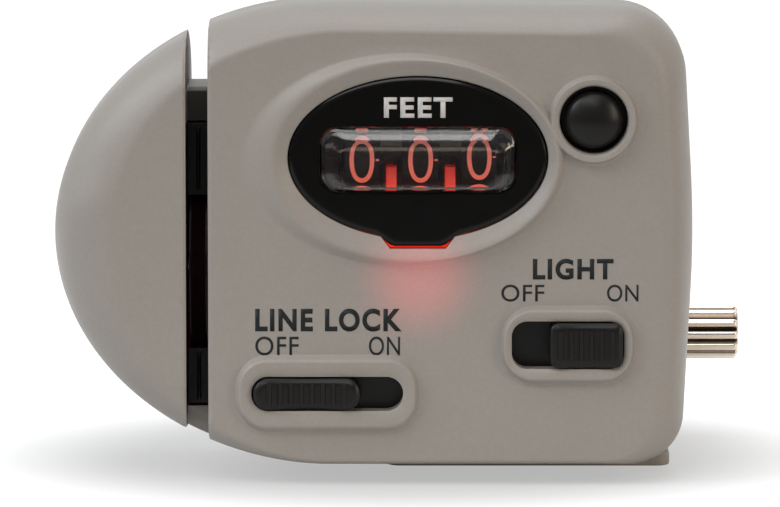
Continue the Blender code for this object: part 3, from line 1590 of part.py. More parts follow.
def reversing_lever():
    """The lever with a slot at each end, drawn as it stands with the lock off."""
    reach = LOCK_ARM / cos(LEVER_REST) + PEG_R * 2.5
    blade = rounded_box(0, 0, LEVER_WIDTH, 2 * reach, LEVER_WIDTH * RIM_CORNER_SHARE, 4)
    lie = Matrix.Rotation(LEVER_REST, 4, "Y") @ FLAT_XZ
    origin = (LEVER_X, 0, LEVER_Z)
    low = -LEVER_Y - LEVER_SHEET
    lever = sheet("lock_lever", blade, low, -LEVER_Y, lie, STEEL, origin)
    slot_half = PEG_R + RUN
    near = LOCK_ARM - slot_half * 1.5
    for k, side in enumerate((-1, 1)):
        ends = sorted((side * near, side * (reach + OVERRUN)))
        slot = [(slot_half, ends[0]), (slot_half, ends[1]), (-slot_half, ends[1]), (-slot_half, ends[0])]
        cut(lever, sheet(f"lever_slot_{k}", slot, low - OVERRUN, -LEVER_Y + OVERRUN, lie, origin=origin))
    cut(
        lever,
        rod(
            "lever_bore", TO_Y, origin, LEVER_Y - OVERRUN, LEVER_Y + LEVER_SHEET + OVERRUN, PIVOT_R + RUN, steps=FEW_STEPS
        ),
    )


def keeper():
    """The pin that crosses the slot in front of the wheel, its end block and the roller on it."""
    origin = (0, KEEPER_Y, WHEEL_Z)
    roller_start = WEB_X + GAP
    roller_end = roller_start + ROLLER_LENGTH
    pin = rod("keeper_pin", TO_X, origin, KEEPER_TIP, KEEPER_PEG_X + PEG_R * 2, KEEPER_R, STEEL, steps=FEW_STEPS)
    block_left = WEB_X + LOCK_TRAVEL + GAP
    collar = rod("keeper_collar", TO_X, origin, roller_end + RUN, block_left + GAP, ROLLER_R, steps=FEW_STEPS)
    block = box(
        "keeper_block",
        (block_left, WALL + GAP, WHEEL_Z - ROLLER_R),
        (KEEPER_PEG_X + PEG_R * 2, KEEPER_Y + ROLLER_R - RUN, WHEEL_Z + ROLLER_R),
    )
    peg = rod(
        "keeper_peg", TO_Y, (KEEPER_PEG_X, 0, WHEEL_Z), KEEPER_Y, LEVER_Y + LEVER_SHEET, PEG_R, steps=FEW_STEPS
    )
    join(pin, collar, block, peg)
    turned(
        "keeper_roller",
        TO_X,
        origin,
        [
            (KEEPER_R + RUN, roller_end),
            (ROLLER_R, roller_end),
            (ROLLER_R, roller_start),
            (KEEPER_R + RUN, roller_start),
        ],
        WHITE_GEAR,
        steps=FEW_STEPS,
        ring=True,
    )


# Light switch, board and cell


def light_switch():
    """The light's knob, the switch behind it and the board that carries it."""
    right = LIGHT_X + LIGHT_LENGTH / 2 - RUN
    left = right - LIGHT_KNOB
    ribbed_knob(
        "light_knob",
        left,
        right,
        LIGHT_Z,
        LIGHT_HEIGHT - 2 * RUN,
        LIGHT_RIB_PITCH,
        left - LIGHT_PLATE_START,
        right + LIGHT_PLATE_END,
        LIGHT_HEIGHT + 2 * RIM_RIDGE,
    )
    front = PLATE_BACK + GAP
    back = front + SWITCH_DEEP
    box(
        "light_switch_body",
        (LIGHT_X - SWITCH_LENGTH / 2, front, LIGHT_Z - SWITCH_HEIGHT / 2),
        (LIGHT_X + SWITCH_LENGTH / 2, back, LIGHT_Z + SWITCH_HEIGHT / 2),
        STEEL,
    )
    outline = [
        (BOARD_LEFT, BOARD_LOW),
        (BOARD_RIGHT, BOARD_LOW),
        (BOARD_RIGHT, BOARD_HIGH),
        (BOARD_LEFT, BOARD_HIGH),
    ]
    sheet("circuit_board", outline, -BOARD_FRONT - BOARD, -BOARD_FRONT, FLAT_XZ, BOARD_GREEN)


def cell_and_door():
    """The coin cell, its two contacts and the round door that turns to come out."""
    origin = (CELL_X, 0, CELL_Z)
    turned(
        "coin_cell",
        TO_Y,
        origin,
        [
            (0, CELL_BACK),
            (CELL_R - RUN, CELL_BACK),
            (CELL_R, CELL_BACK - RUN),
            (CELL_R, CELL_FRONT + CELL_THICK / 3),
            (CELL_R - CUP_WALL, CELL_FRONT),
            (0, CELL_FRONT),
        ],
        STEEL,
        steps=STEPS,
    )
    door_front = CELL_BACK + CONTACT + 2 * GAP
    door = turned(
        "cell_door",
        TO_Y,
        origin,
        [
            (0, BACK_Y),
            (DOOR_R - RUN * 3, BACK_Y),
            (DOOR_R - RUN, BACK_Y - RUN * 2),
            (DOOR_R - RUN, door_front),
            (DOOR_R - CUP_WALL, door_front),
            (DOOR_R - CUP_WALL, DOOR_INNER),
            (0, DOOR_INNER),
        ],
        GREY,
        steps=FINE_STEPS,
    )
    slot = box(
        "coin_slot",
        (CELL_X - CELL_R * COIN_SLOT_SHARE, BACK_Y - DOOR_SLOT_DEEP, CELL_Z - DOOR_SLOT / 2),
        (CELL_X + CELL_R * COIN_SLOT_SHARE, BACK_Y + OVERRUN, CELL_Z + DOOR_SLOT / 2),
    )
    cut(door, slot)
    contacts()


def strip(name, path, across_low, across_high, material):
    """A strip of spring sheet that follows a path in the YZ plane, CONTACT thick."""
    half = CONTACT / 2
    sides = ([], [])
    for k, (y, z) in enumerate(path):
        before = Vector(path[max(k - 1, 0)])
        after = Vector(path[min(k + 1, len(path) - 1)])
        run = (after - before).normalized()
        aside = Vector((-run.y, run.x)) * half
        sides[0].append((y + aside.x, z + aside.y))
        sides[1].append((y - aside.x, z - aside.y))
    return sheet(name, sides[0] + sides[1][::-1], across_low, across_high, FLAT_YZ, material)


def contacts():
    """The strip in front of the cell and the one behind it, each running to the board."""
    seat = BOARD_FRONT + BOARD + GAP + CONTACT / 2
    front_y = CELL_FRONT - GAP - CONTACT / 2
    low = BOARD_HIGH - CONTACT_WIDTH
    behind = DOOR_INNER - GAP
    inner, outer = (CELL_R * share for share in CONTACT_RING_SHARES)
    strip(
        "cell_contact_front",
        [
            (front_y, CELL_Z),
            (front_y, CELL_Z - CELL_R * CONTACT_DIP_SHARE),
            (front_y - CUP_LIP - CONTACT * 2, CELL_Z - CELL_R * CONTACT_FALL_SHARE),
            (front_y - CUP_LIP - CONTACT * 2, low + CONTACT_WIDTH / 2),
            (seat + CONTACT_WIDTH / 2, low),
            (seat, low - CONTACT_WIDTH / 2),
            (seat, low - CONTACT_WIDTH),
        ],
        CELL_X - CONTACT_WIDTH / 2,
        CELL_X + CONTACT_WIDTH / 2,
        BRASS,
    )
    turned(
        "cell_contact_back",
        TO_Y,
        (CELL_X, 0, CELL_Z),
        [
            (outer, behind),
            (outer, CELL_BACK + GAP),
            (inner, CELL_BACK + GAP),
            (inner, behind),
        ],
        BRASS,
        steps=STEPS,
        ring=True,
    )


# Rod clamp


def clamp_base():
    """The bracket on the back: foot, back plate, fixed jaw with a vee, and the end wall that carries the screw."""
    outline = rounded(
        [
            (BASE_LEFT, PLATE_FRONT, 0),
            (BASE_RIGHT, PLATE_FRONT, 0),
            (BASE_RIGHT, BASE_BACK, FOOT_CORNER),
            (END_LEFT, BASE_BACK, FOOT_CORNER),
            (END_LEFT, BASE_PLATE_BACK, 0),
            (FIXED_FACE, BASE_PLATE_BACK, 0),
            (FIXED_FACE, SCREW_Y - VEE_HALF, 0),
            (FIXED_FACE - VEE, SCREW_Y, 0),
            (FIXED_FACE, SCREW_Y + VEE_HALF, 0),
            (FIXED_FACE, BASE_BACK, FOOT_CORNER / 2),
            (BASE_LEFT, BASE_BACK, FOOT_CORNER),
        ],
        4,
    )
    base = sheet("clamp_base", outline, 0, BASE_TOP, FLAT_XY, GREY)
    foot_outline = rounded(
        [
            (BASE_LEFT, FOOT_FRONT, FOOT_CORNER),
            (BASE_RIGHT, FOOT_FRONT, FOOT_CORNER),
            (BASE_RIGHT, BASE_PLATE_BACK - BASE_PLATE / 2, 0),
            (BASE_LEFT, BASE_PLATE_BACK - BASE_PLATE / 2, 0),
        ],
        4,
    )
    foot = sheet("clamp_foot", foot_outline, 0, FOOT_THICK, FLAT_XY)
    join(base, foot)
    groove = box(
        "tongue_groove",
        (FIXED_FACE + RIB, BASE_PLATE_BACK - TONGUE, SCREW_Z - TONGUE_HALF - RUN),
        (END_LEFT - RIB / 2, BASE_PLATE_BACK + OVERRUN, SCREW_Z + TONGUE_HALF + RUN),
    )
    journal = rod(
        "screw_journal", TO_X, (0, SCREW_Y, SCREW_Z), END_LEFT - OVERRUN, BASE_RIGHT + OVERRUN, SCREW_R + RUN
    )
    pockets = []
    tall = (BASE_TOP - 3 * RIB) / 2
    for k in range(2):
        low = RIB + k * (tall + RIB)
        pockets.append(
            box(
                f"jaw_pocket_{k}",
                (BASE_LEFT - OVERRUN, BASE_PLATE_BACK + RIB, low),
                (FIXED_FACE - VEE - RIB, BASE_BACK - RIB * 1.5, low + tall),
            )
        )
    screws = []
    for k, z in enumerate(base_screw_heights()):
        x = base_screw_x()
        screws.append(
            rod(
                f"base_screw_way_{k}",
                TO_Y,
                (x, 0, z),
                PLATE_FRONT - OVERRUN,
                BASE_PLATE_BACK + OVERRUN,
                SCREW_SHANK_R + RUN,
                steps=FEW_STEPS,
            )
        )
        screws.append(
            rod(
                f"base_head_way_{k}",
                TO_Y,
                (x, 0, z),
                BASE_PLATE_BACK - SCREW_HEAD - RUN,
                BASE_PLATE_BACK + OVERRUN,
                SCREW_HEAD_R + RUN,
                steps=FEW_STEPS,
            )
        )
    return cut(base, groove, journal, *pockets, *screws)


def base_screw_x():
    """Where the clamp's two screws stand, clear of the tongue's groove and in the open gap."""
    return FIXED_FACE + JAW_GAP / 2


def base_screw_heights():
    """Heights of the two screws that hold the clamp to the rear shell."""
    return (SCREW_Z - TONGUE_HALF - SCREW_HEAD_R * 2, SCREW_Z + TONGUE_HALF + SCREW_HEAD_R * 2)


def clamp_screws():
    """The two screws that hold the clamp's plate to the rear shell."""
    head = BASE_PLATE_BACK - RUN
    for k, z in enumerate(base_screw_heights()):
        turned(
            f"clamp_plate_screw_{k + 1}",
            TO_Y,
            (base_screw_x(), 0, z),
            [
                (0, head),
                (SCREW_HEAD_R, head),
                (SCREW_HEAD_R, head - SCREW_HEAD + RUN),
                (SCREW_SHANK_R, head - SCREW_HEAD + RUN),
                (SCREW_SHANK_R, BACK_Y - WALL / 2),
                (0, BACK_Y - WALL / 2),
            ],
            STEEL,
            steps=FEW_STEPS,
        )


def clamp_jaw():
    """The sliding jaw with its tongue and the screw's hole."""
    front = BASE_PLATE_BACK + GAP
    outline = rounded(
        [
            (JAW_LEFT, front, 0),
            (JAW_RIGHT, front, 0),
            (JAW_RIGHT, BASE_BACK, FOOT_CORNER),
            (JAW_LEFT, BASE_BACK, FOOT_CORNER / 2),
        ],
        4,
    )
    jaw = sheet("clamp_jaw", outline, GAP * 2, BASE_TOP, FLAT_XY, GREY)
    tongue = box(
        "jaw_tongue",
        (JAW_LEFT + RIB, BASE_PLATE_BACK - TONGUE + GAP, SCREW_Z - TONGUE_HALF),
        (JAW_RIGHT - RIB, front + TONGUE, SCREW_Z + TONGUE_HALF),
    )
    join(jaw, tongue)
    hole = rod(
        "jaw_thread", TO_X, (0, SCREW_Y, SCREW_Z), JAW_LEFT - OVERRUN, JAW_RIGHT + OVERRUN, SCREW_R + RUN, steps=STEPS
    )
    cut(jaw, hole)


def jaw_pads():
    """A rubber strip bent over the fixed jaw's vee and a flat one on the sliding jaw."""
    start = BASE_PLATE_BACK + GAP
    end = BASE_BACK - RIB
    near = FIXED_FACE + GAP
    far = near + PAD
    outline = [
        (near, start),
        (far, start),
        (far, SCREW_Y - VEE_HALF),
        (far - VEE, SCREW_Y),
        (far, SCREW_Y + VEE_HALF),
        (far, end),
        (near, end),
        (near, SCREW_Y + VEE_HALF),
        (near - VEE, SCREW_Y),
        (near, SCREW_Y - VEE_HALF),
    ]
    sheet("fixed_jaw_pad", outline, RIB, BASE_TOP - RIB, FLAT_XY, RUBBER)
    right = JAW_LEFT - GAP
    box("sliding_jaw_pad", (right - PAD, start, RIB), (right, end, BASE_TOP - RIB), RUBBER)


def clamp_screw():
    """The thumb screw with its coarse straight ribs, and the clip that keeps it in the end wall."""
    origin = (0, SCREW_Y, SCREW_Z)
    screw = rod("clamp_screw", TO_X, origin, JAW_LEFT + GAP, HEAD_START + RIB, SCREW_R, NICKEL)
    points = []
    for k in range(HEAD_RIBS):
        for share in (0, *RIB_CREST_SHARES):
            angle = 2 * pi * (k + share) / HEAD_RIBS
            radius = HEAD_R if share else HEAD_R - HEAD_GROOVE
            points.append((radius * cos(angle), radius * sin(angle)))
    head = sheet("screw_head", points, HEAD_START, HEAD_END, FLAT_YZ, origin=origin)
    join(screw, head)
    trim = turned(
        "head_chamfer",
        TO_X,
        origin,
        [
            (HEAD_R + OVERRUN, HEAD_END + OVERRUN),
            (HEAD_R + OVERRUN, HEAD_END - HEAD_GROOVE),
            (HEAD_R, HEAD_END - HEAD_GROOVE),
            (HEAD_R - HEAD_GROOVE * 0.8, HEAD_END),
            (HEAD_R - HEAD_GROOVE * 0.8, HEAD_END + OVERRUN),
        ],
        steps=STEPS,
        ring=True,
    )
    cut(screw, trim)
    turned(
        "screw_clip",
        TO_X,
        origin,
        [
            (SCREW_R + RUN / 2, CLIP_START + CLIP),
            (CLIP_R, CLIP_START + CLIP),
            (CLIP_R, CLIP_START),
            (SCREW_R + RUN / 2, CLIP_START),
        ],
        STEEL,
        steps=STEPS,
        ring=True,
    )


# Assembly


def centre_on_foot():
    """Moves the root so that the object stands on z = 0, centred in x and y."""
    bpy.context.view_layer.update()
    graph = bpy.context.evaluated_depsgraph_get()
    low = Vector((1, 1, 1)) * float("inf")
    high = -low
    for piece in PARTS.objects:
        if piece.type == "EMPTY":
            continue
        shape = piece.evaluated_get(graph)
        mesh = shape.to_mesh()
        for point in mesh.vertices:
            place = shape.matrix_world @ point.co
            low = Vector(map(min, low, place))
            high = Vector(map(max, high, place))
        shape.to_mesh_clear()
    ROOT.location = (-(low.x + high.x) / 2, -(low.y + high.y) / 2, -low.z)
    bpy.context.view_layer.update()


front_shell()
rear_shell()
housing_screws()
line_channel()
measuring_wheel()
wheel_bushes()
gear_plate()
gear_train()
counter_frame()
digit_shaft()
for drum_name, drum_left in zip(("hundreds_drum", "tens_drum", "units_drum"), DRUM_LEFTS):
    digit_drum(drum_name, drum_left, drum_name != "units_drum")
carry_pinions()
display()
light_guide()
reset_button()
reset_comb()
line_lock()
light_switch()
cell_and_door()
clamp_base()
clamp_screws()
clamp_jaw()
jaw_pads()
clamp_screw()
centre_on_foot()
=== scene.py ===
"""Clip-on fishing line counter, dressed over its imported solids.

Lengths are millimetres, counted as the part's source counts them: x from the middle of the line slot,
y back from the flat of the face, z up from the foot. Each piece is turned into metres as it is made.
"""

import json
from math import acos, atan2, cos, pi, radians, sin, sqrt, tan

import bmesh
import bpy
import numpy as np
from mathutils import Matrix, Vector
from mathutils.geometry import delaunay_2d_cdt

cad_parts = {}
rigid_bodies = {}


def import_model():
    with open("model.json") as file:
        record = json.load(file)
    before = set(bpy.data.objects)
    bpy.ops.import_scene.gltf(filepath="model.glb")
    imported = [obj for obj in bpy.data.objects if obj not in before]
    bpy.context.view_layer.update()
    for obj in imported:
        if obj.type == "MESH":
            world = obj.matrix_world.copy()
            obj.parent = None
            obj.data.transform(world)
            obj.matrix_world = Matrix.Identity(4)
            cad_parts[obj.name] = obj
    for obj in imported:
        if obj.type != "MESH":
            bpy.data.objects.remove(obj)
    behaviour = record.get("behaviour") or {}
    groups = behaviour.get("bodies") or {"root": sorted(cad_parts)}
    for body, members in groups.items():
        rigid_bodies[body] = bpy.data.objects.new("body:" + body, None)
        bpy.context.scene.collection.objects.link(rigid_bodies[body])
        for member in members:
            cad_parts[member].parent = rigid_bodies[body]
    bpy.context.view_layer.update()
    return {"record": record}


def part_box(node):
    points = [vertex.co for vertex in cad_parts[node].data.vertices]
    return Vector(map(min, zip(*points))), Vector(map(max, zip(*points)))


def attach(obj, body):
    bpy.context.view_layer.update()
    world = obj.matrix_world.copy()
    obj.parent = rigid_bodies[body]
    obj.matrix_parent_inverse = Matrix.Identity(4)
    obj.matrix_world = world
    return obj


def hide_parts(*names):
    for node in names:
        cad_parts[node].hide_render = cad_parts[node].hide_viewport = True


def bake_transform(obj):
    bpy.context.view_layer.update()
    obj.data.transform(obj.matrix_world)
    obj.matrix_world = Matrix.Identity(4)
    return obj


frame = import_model()


# Front shell. Moulded in taupe-grey plastic with a fine matt skin, its edge rolled over to the flat face.
# The surrounds of the display, the button and both switches are raised in the same moulding. The line slot
# runs down through it, bridged at the top and the foot. Four screws from the back hold it to the rear shell.

MM = 0.001
FACE_RISE = 1.0
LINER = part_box("line_channel")
TO_ROW = Matrix.Translation(
    ((LINER[0].x + LINER[1].x) / 2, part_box("front_shell")[0].y + FACE_RISE * MM, 0)
) @ Matrix.Scale(MM, 4)
TAUPE = (0.297, 0.272, 0.248)
NOSE, SIDE, TOP, BOTTOM = -16.1, 55.8, 54.0, 1.9
SHOULDER = 14.8
PARTING = 12.0
BAND = 6.5
FLAT_INSET = (6.8, 2.8, 3.6, 1.0, 2.05, 2.2)
GRID_INSET = (7.1, 3.1, 3.9, 1.3, 2.05, 2.2)
WALL = 1.8
HALF_SLOT = 1.25
SLOT_EDGE = 0.32
SLOT_FLOOR = 8.6
LIP = 2.4
RECESS = 1.85
LINER_LOW, LINER_HIGH, BRIDGE_TOP = 7.8, 40.3, 43.7
KEEPER_LOW, KEEPER_HIGH, KEEPER_FRONT = 21.6, 24.6, 1.8
DISPLAY = (24.7, 36.8)
DISPLAY_RINGS = np.array([(23.2, 36.8, 18.2, 12.0), (24.4, 36.8, 15.9, 11.2), (24.7, 37.02, 14.55, 9.2)])
HOLE_RISE, HOLE_ROUND, RIM_RISE, MELT = 0.12, 0.12, 0.9, 0.7
TAB_TOP, TAB_LOW, TAB_GAP = 28.9, 27.1, 0.28
BUTTON = (44.3, 41.3)
BUTTON_RINGS = np.array([5.02, 4.62, 3.82])
LOCK, LIGHT = (14.56, 10.5), (41.5, 16.0)
LOCK_RINGS = ((20.5, 8.7, 0.42), (19.4, 7.1, 0.42), (17.0, 3.9, 0.48))
LIGHT_RINGS = ((14.9, 8.8, 0.42), (14.15, 7.5, 0.41), (12.6, 5.4, 0.32))
SWITCHES = ((LOCK, LOCK_RINGS), (LIGHT, LIGHT_RINGS))
STEP_SHARES = (0, 0.06, 0.14, 0.24, 0.36, 0.5, 0.64, 0.78, 0.9, 1, 1.08, 1.2, 1.36, 1.54, 1.72, 1.87, 1.94, 2)
MESH_STEP = 1.6
SKIN_WELD = 0.004


def feed(made, node, inputs):
    """Sets a node's inputs, each to a value or to a link from another node."""
    for socket, value in dict(inputs).items():
        target = node.inputs[socket]
        if isinstance(value, bpy.types.NodeSocket):
            made.links.new(value, target)
        else:
            target.default_value = value
    return node


def workers(made):
    """Two functions for a node tree: one adds a node with its settings, one a step of arithmetic."""

    def add(kind, inputs=(), **settings):
        node = made.nodes.new(kind)
        for key, value in settings.items():
            setattr(node, key, value)
        return feed(made, node, inputs)

    def maths(kind, *values):
        return add("ShaderNodeMath", dict(enumerate(values)), operation=kind).outputs[0]

    return add, maths


def skin_group():
    """Moulded skin: fine grain, faint clouding of the colour, and edges rubbed paler and smoother."""
    group = bpy.data.node_groups.new("moulded_skin", "ShaderNodeTree")
    for name, kind, value in (
        ("Colour", "Color", (0.5, 0.5, 0.5, 1)),
        ("Grain Scale", "Float", 2600.0),
        ("Cloud", "Float", 0.06),
        ("Worn Lightness", "Float", 0.25),
        ("Edge Width", "Float", 0.0003),
        ("Roughness", "Float", 0.5),
    ):
        socket = group.interface.new_socket(name, in_out="INPUT", socket_type="NodeSocket" + kind)
        socket.default_value = value
    for name, kind in (("Colour", "Color"), ("Roughness", "Float"), ("Height", "Float")):
        group.interface.new_socket(name, in_out="OUTPUT", socket_type="NodeSocket" + kind)
    add, maths = workers(group)
    given = group.nodes.new("NodeGroupInput").outputs
    place = add("ShaderNodeTexCoord").outputs["Object"]

    def noise(scale, detail):
        return add("ShaderNodeTexNoise", {"Vector": place, "Scale": scale, "Detail": detail}).outputs["Fac"]

    grain, cloud, scuff = noise(given["Grain Scale"], 3.0), noise(90.0, 3.0), noise(420.0, 5.0)
    softened = add("ShaderNodeBevel", {"Radius": given["Edge Width"]}, samples=4).outputs[0]
    normal = add("ShaderNodeNewGeometry").outputs["Normal"]
    facing = add("ShaderNodeVectorMath", {0: softened, 1: normal}, operation="DOT_PRODUCT").outputs["Value"]
    edge = add("ShaderNodeMapRange", {"Value": facing, "From Min": 0.995, "From Max": 0.86}).outputs[0]
    broken = maths("MULTIPLY", edge, maths("ADD", scuff, 0.2))
    worn = maths("MULTIPLY", broken, given["Worn Lightness"])
    cloud_shift = maths("MULTIPLY", maths("SUBTRACT", cloud, 0.5), given["Cloud"])
    grain_shift = maths("MULTIPLY", maths("SUBTRACT", grain, 0.5), 0.16)
    light = maths("ADD", maths("ADD", cloud_shift, grain_shift), maths("ADD", worn, 1.0))
    tint = add("ShaderNodeVectorMath", {0: given["Colour"], "Scale": light}, operation="SCALE")
    rough = maths("ADD", given["Roughness"], maths("MULTIPLY", scuff, 0.12))
    rough = maths("SUBTRACT", rough, maths("MULTIPLY", broken, 0.12))
    height = maths("ADD", grain, maths("MULTIPLY", scuff, 0.15))
    add("NodeGroupOutput", {"Colour": tint.outputs[0], "Roughness": rough, "Height": height})
    return group


SKIN = skin_group()


def material(name):
    """A new material, giving it, its shader and the function that adds nodes to it."""
    made = bpy.data.materials.new(name)
    made.use_nodes = True
    return made, made.node_tree.nodes["Principled BSDF"], workers(made.node_tree)[0]


def moulded(name, colour, roughness, grain=2600.0, depth=0.00001, worn=0.25, cloud=0.06, **sockets):
    """A plastic, rubber or metal finish: the shared skin over a shader with its own settings."""
    made, shader, add = material(name)
    values = {"Colour": (*colour, 1), "Grain Scale": grain, "Cloud": cloud, "Worn Lightness": worn}
    values["Roughness"] = roughness - 0.06
    skin = add("ShaderNodeGroup", values, node_tree=SKIN).outputs
    bump = add("ShaderNodeBump", {"Strength": 0.5, "Distance": depth, "Height": skin["Height"]})
    fed = {socket.replace("_", " "): value for socket, value in sockets.items()}
    fed |= {"Base Color": skin["Colour"], "Roughness": skin["Roughness"], "Normal": bump.outputs[0]}
    feed(made.node_tree, shader, fed)
    return made


def shining(made, share, first, second, strength):
    """Lets a material give light, from a first colour to a second by a share of the way."""
    add, _ = workers(made.node_tree)
    mix = add("ShaderNodeMix", {"Factor": share, "A": (*first, 1), "B": (*second, 1)}, data_type="RGBA")
    light = {"Emission Color": mix.outputs["Result"], "Emission Strength": strength}
    feed(made.node_tree, made.node_tree.nodes["Principled BSDF"], light)
    return made


HOUSING_SKIN = moulded("taupe_moulding", TAUPE, 0.46)
# Place, reach and colour of the red glow painted onto the face under the display.
PAINTED_GLOW_PLACE = (24.9, 0.0, 23.6)
PAINTED_GLOW_REACH = 9.0
PAINTED_GLOW_RED = (0.25, 0.014, 0.022)


def glowing(made):
    """Paints a faint round red glow onto the face under the display: painted light from the lamp behind it.
    """
    add, _ = workers(made.node_tree)
    where = add("ShaderNodeTexCoord").outputs["Object"]
    away = add("ShaderNodeVectorMath", {0: where, 1: TO_ROW @ Vector(PAINTED_GLOW_PLACE)}, operation="DISTANCE")
    fall = {"Value": away.outputs["Value"], "From Min": PAINTED_GLOW_REACH * MM, "From Max": 0}
    fade = add("ShaderNodeMapRange", fall, interpolation_type="SMOOTHERSTEP")
    return shining(made, fade.outputs[0], (0, 0, 0), PAINTED_GLOW_RED, 1.0)


# The front skin carries painted light: a red glow painted onto the face below the display.
FRONT_SKIN_PAINTED_GLOW = glowing(moulded("taupe_front", TAUPE, 0.46))


def linked(name, data):
    """A new object in the scene."""
    made = bpy.data.objects.new(name, data)
    bpy.context.scene.collection.objects.link(made)
    return made


def meshed(name, shape):
    """A mesh from a bmesh, which is then freed."""
    mesh = bpy.data.meshes.new(name)
    shape.to_mesh(mesh)
    shape.free()
    return mesh


def piece(name, shape, finish, sharp=38, toward=None):
    """Welds a bmesh in millimetres into a piece in the row frame, facing out, smooth up to an angle."""
    bmesh.ops.remove_doubles(shape, verts=shape.verts, dist=0.002)
    bmesh.ops.dissolve_degenerate(shape, edges=shape.edges, dist=0.0005)
    bmesh.ops.recalc_face_normals(shape, faces=shape.faces)
    if toward:
        aim = Vector(toward)
        if sum(face.normal.dot(aim) * face.calc_area() for face in shape.faces) < 0:
            bmesh.ops.reverse_faces(shape, faces=shape.faces)
    mesh = meshed(name, shape)
    mesh.transform(TO_ROW)
    mesh.shade_smooth()
    mesh.set_sharp_from_angle(angle=radians(sharp))
    mesh.materials.append(finish)
    return linked(name, mesh)


def arc(x, z, across, up, start, end, steps):
    """Points along a stretch of an ellipse, without its last one."""
    turns = [start + (end - start) * k / steps for k in range(steps)]
    return [(x + across * cos(a), z + up * sin(a)) for a in turns]


def rounded(corners, steps):
    """A polygon's outline with each corner (across, up, radius) rounded by an arc of so many steps."""
    points = []
    for k, (across, up, radius) in enumerate(corners):
        here = Vector((across, up))
        if not radius:
            points.append((across, up))
            continue
        before = (Vector(corners[k - 1][:2]) - here).normalized()
        after = (Vector(corners[(k + 1) % len(corners)][:2]) - here).normalized()
        half = acos(max(-1, min(1, before.dot(after)))) / 2
        tangent = radius / tan(half)
        centre = here + (before + after).normalized() * (radius / sin(half))
        first = here + before * tangent - centre
        last = here + after * tangent - centre
        start = atan2(first.y, first.x)
        swing = (atan2(last.y, last.x) - start + pi) % (2 * pi) - pi
        for step in range(steps + 1):
            angle = start + swing * step / steps
            points.append((centre.x + radius * cos(angle), centre.y + radius * sin(angle)))
    return points


def outline(left=0, top=0, right=0, bottom=0, rise=0, shoulder=0, corner=8.0):
    """The housing from the front, its nose elliptical and its right end squared, drawn in by amounts."""
    west, east, north, south = NOSE + left, SIDE - right, TOP - top, BOTTOM + bottom
    middle = (TOP + BOTTOM) / 2
    nose = middle + rise
    upper = SHOULDER + shoulder
    points = arc(upper, nose, upper - west, north - nose, pi / 2, pi, 44)
    points += arc(SHOULDER, nose, SHOULDER - west, nose - south, pi, 1.5 * pi, 44)
    ends = [
        (SHOULDER, south, 0),
        (east - 1.4, south, 5.6),
        (east, (south + north) / 2, 130.0),
        (east - 1.4, north - 0.5, corner),
        (upper, north, 0),
    ]
    return points + rounded(ends, 14)[:-1]


def matched(longest, *outlines):
    """The same outlines with their long stretches split alike, so that no stretch is longer than asked."""
    made = [[] for _ in outlines]
    count = len(outlines[0])
    for k in range(count):
        stretch = max((Vector(o[(k + 1) % count]) - Vector(o[k])).length for o in outlines)
        parts = max(1, round(stretch / longest + 0.4))
        for out, line in zip(made, outlines):
            (ax, az), (bx, bz) = line[k], line[(k + 1) % count]
            out.extend((ax + (bx - ax) * s / parts, az + (bz - az) * s / parts) for s in range(parts))
    return made


def ease(low, high, value):
    """0 below low, 1 above high, and a soft S between."""
    share = np.clip((value - low) / (high - low), 0, 1)
    return share * share * (3 - 2 * share)


def strip_faces(shape, rows, ring=True):
    """Joins rows of as many points each with quads, and gives back the rows' vertices."""
    made = [[shape.verts.new(point) for point in row] for row in rows]
    count = len(rows[0])
    for before, after in zip(made, made[1:]):
        for k in range(count if ring else count - 1):
            n = (k + 1) % count
            corners = (before[k], before[n], after[n], after[k])
            if len({corner.co.to_tuple(5) for corner in corners}) > 2:
                shape.faces.new(corners)
    return made


def at(line, y):
    """An outline placed at a depth."""
    return [(x, y, z) for x, z in line]


def inside(line, points):
    """Which of the points lie within a closed outline."""
    ring = np.array(line)
    points = np.asarray(points)
    x, z = points[:, 0:1], points[:, 1:2]
    ax, az = ring[:, 0], ring[:, 1]
    bx, bz = np.roll(ax, -1), np.roll(az, -1)
    crosses = (az > z) != (bz > z)
    with np.errstate(divide="ignore", invalid="ignore"):
        hits = crosses & (x < (bx - ax) * (z - az) / (bz - az) + ax)
    return hits.sum(1) % 2 == 1


def oval(x, z, across, up, steps):
    """Points round an ellipse."""
    return arc(x, z, across, up, 0, 2 * pi, steps)


def long_ring(centre, width, height, round_share):
    """A round-cornered rectangle with the same count of points whatever its size."""
    x, z = centre
    radius = height * round_share
    across, up = width / 2, height / 2
    corners = [(x + across, z + up), (x - across, z + up), (x - across, z - up), (x + across, z - up)]
    points = rounded([(a, b, radius) for a, b in corners], 12)
    made = []
    for k in range(4):
        group = points[13 * k : 13 * k + 13]
        made += group
        (ax, az), (bx, bz) = group[-1], points[(13 * k + 13) % len(points)]
        made += [(ax + (bx - ax) * s / 16, az + (bz - az) * s / 16) for s in range(1, 16)]
    return made


def display_ring(share):
    """Centre and half sizes of the display's surround: share 0 at its toe, 1 on its ridge, 2 at the hole."""
    return [np.interp(share, (0, 1, 2), DISPLAY_RINGS[:, k]) for k in range(4)]


def ring_height(share):
    """How far a surround stands above the face at a share of the way from toe to ridge to opening."""
    share = np.asarray(share, float)
    up = ease(0.0, 1.0, share) ** 0.85
    down = 1 - (1 - HOLE_RISE) * (0.5 * (share - 1) + 0.5 * ease(1.0, 2.0, share))
    return np.where(share < 1, up, down)


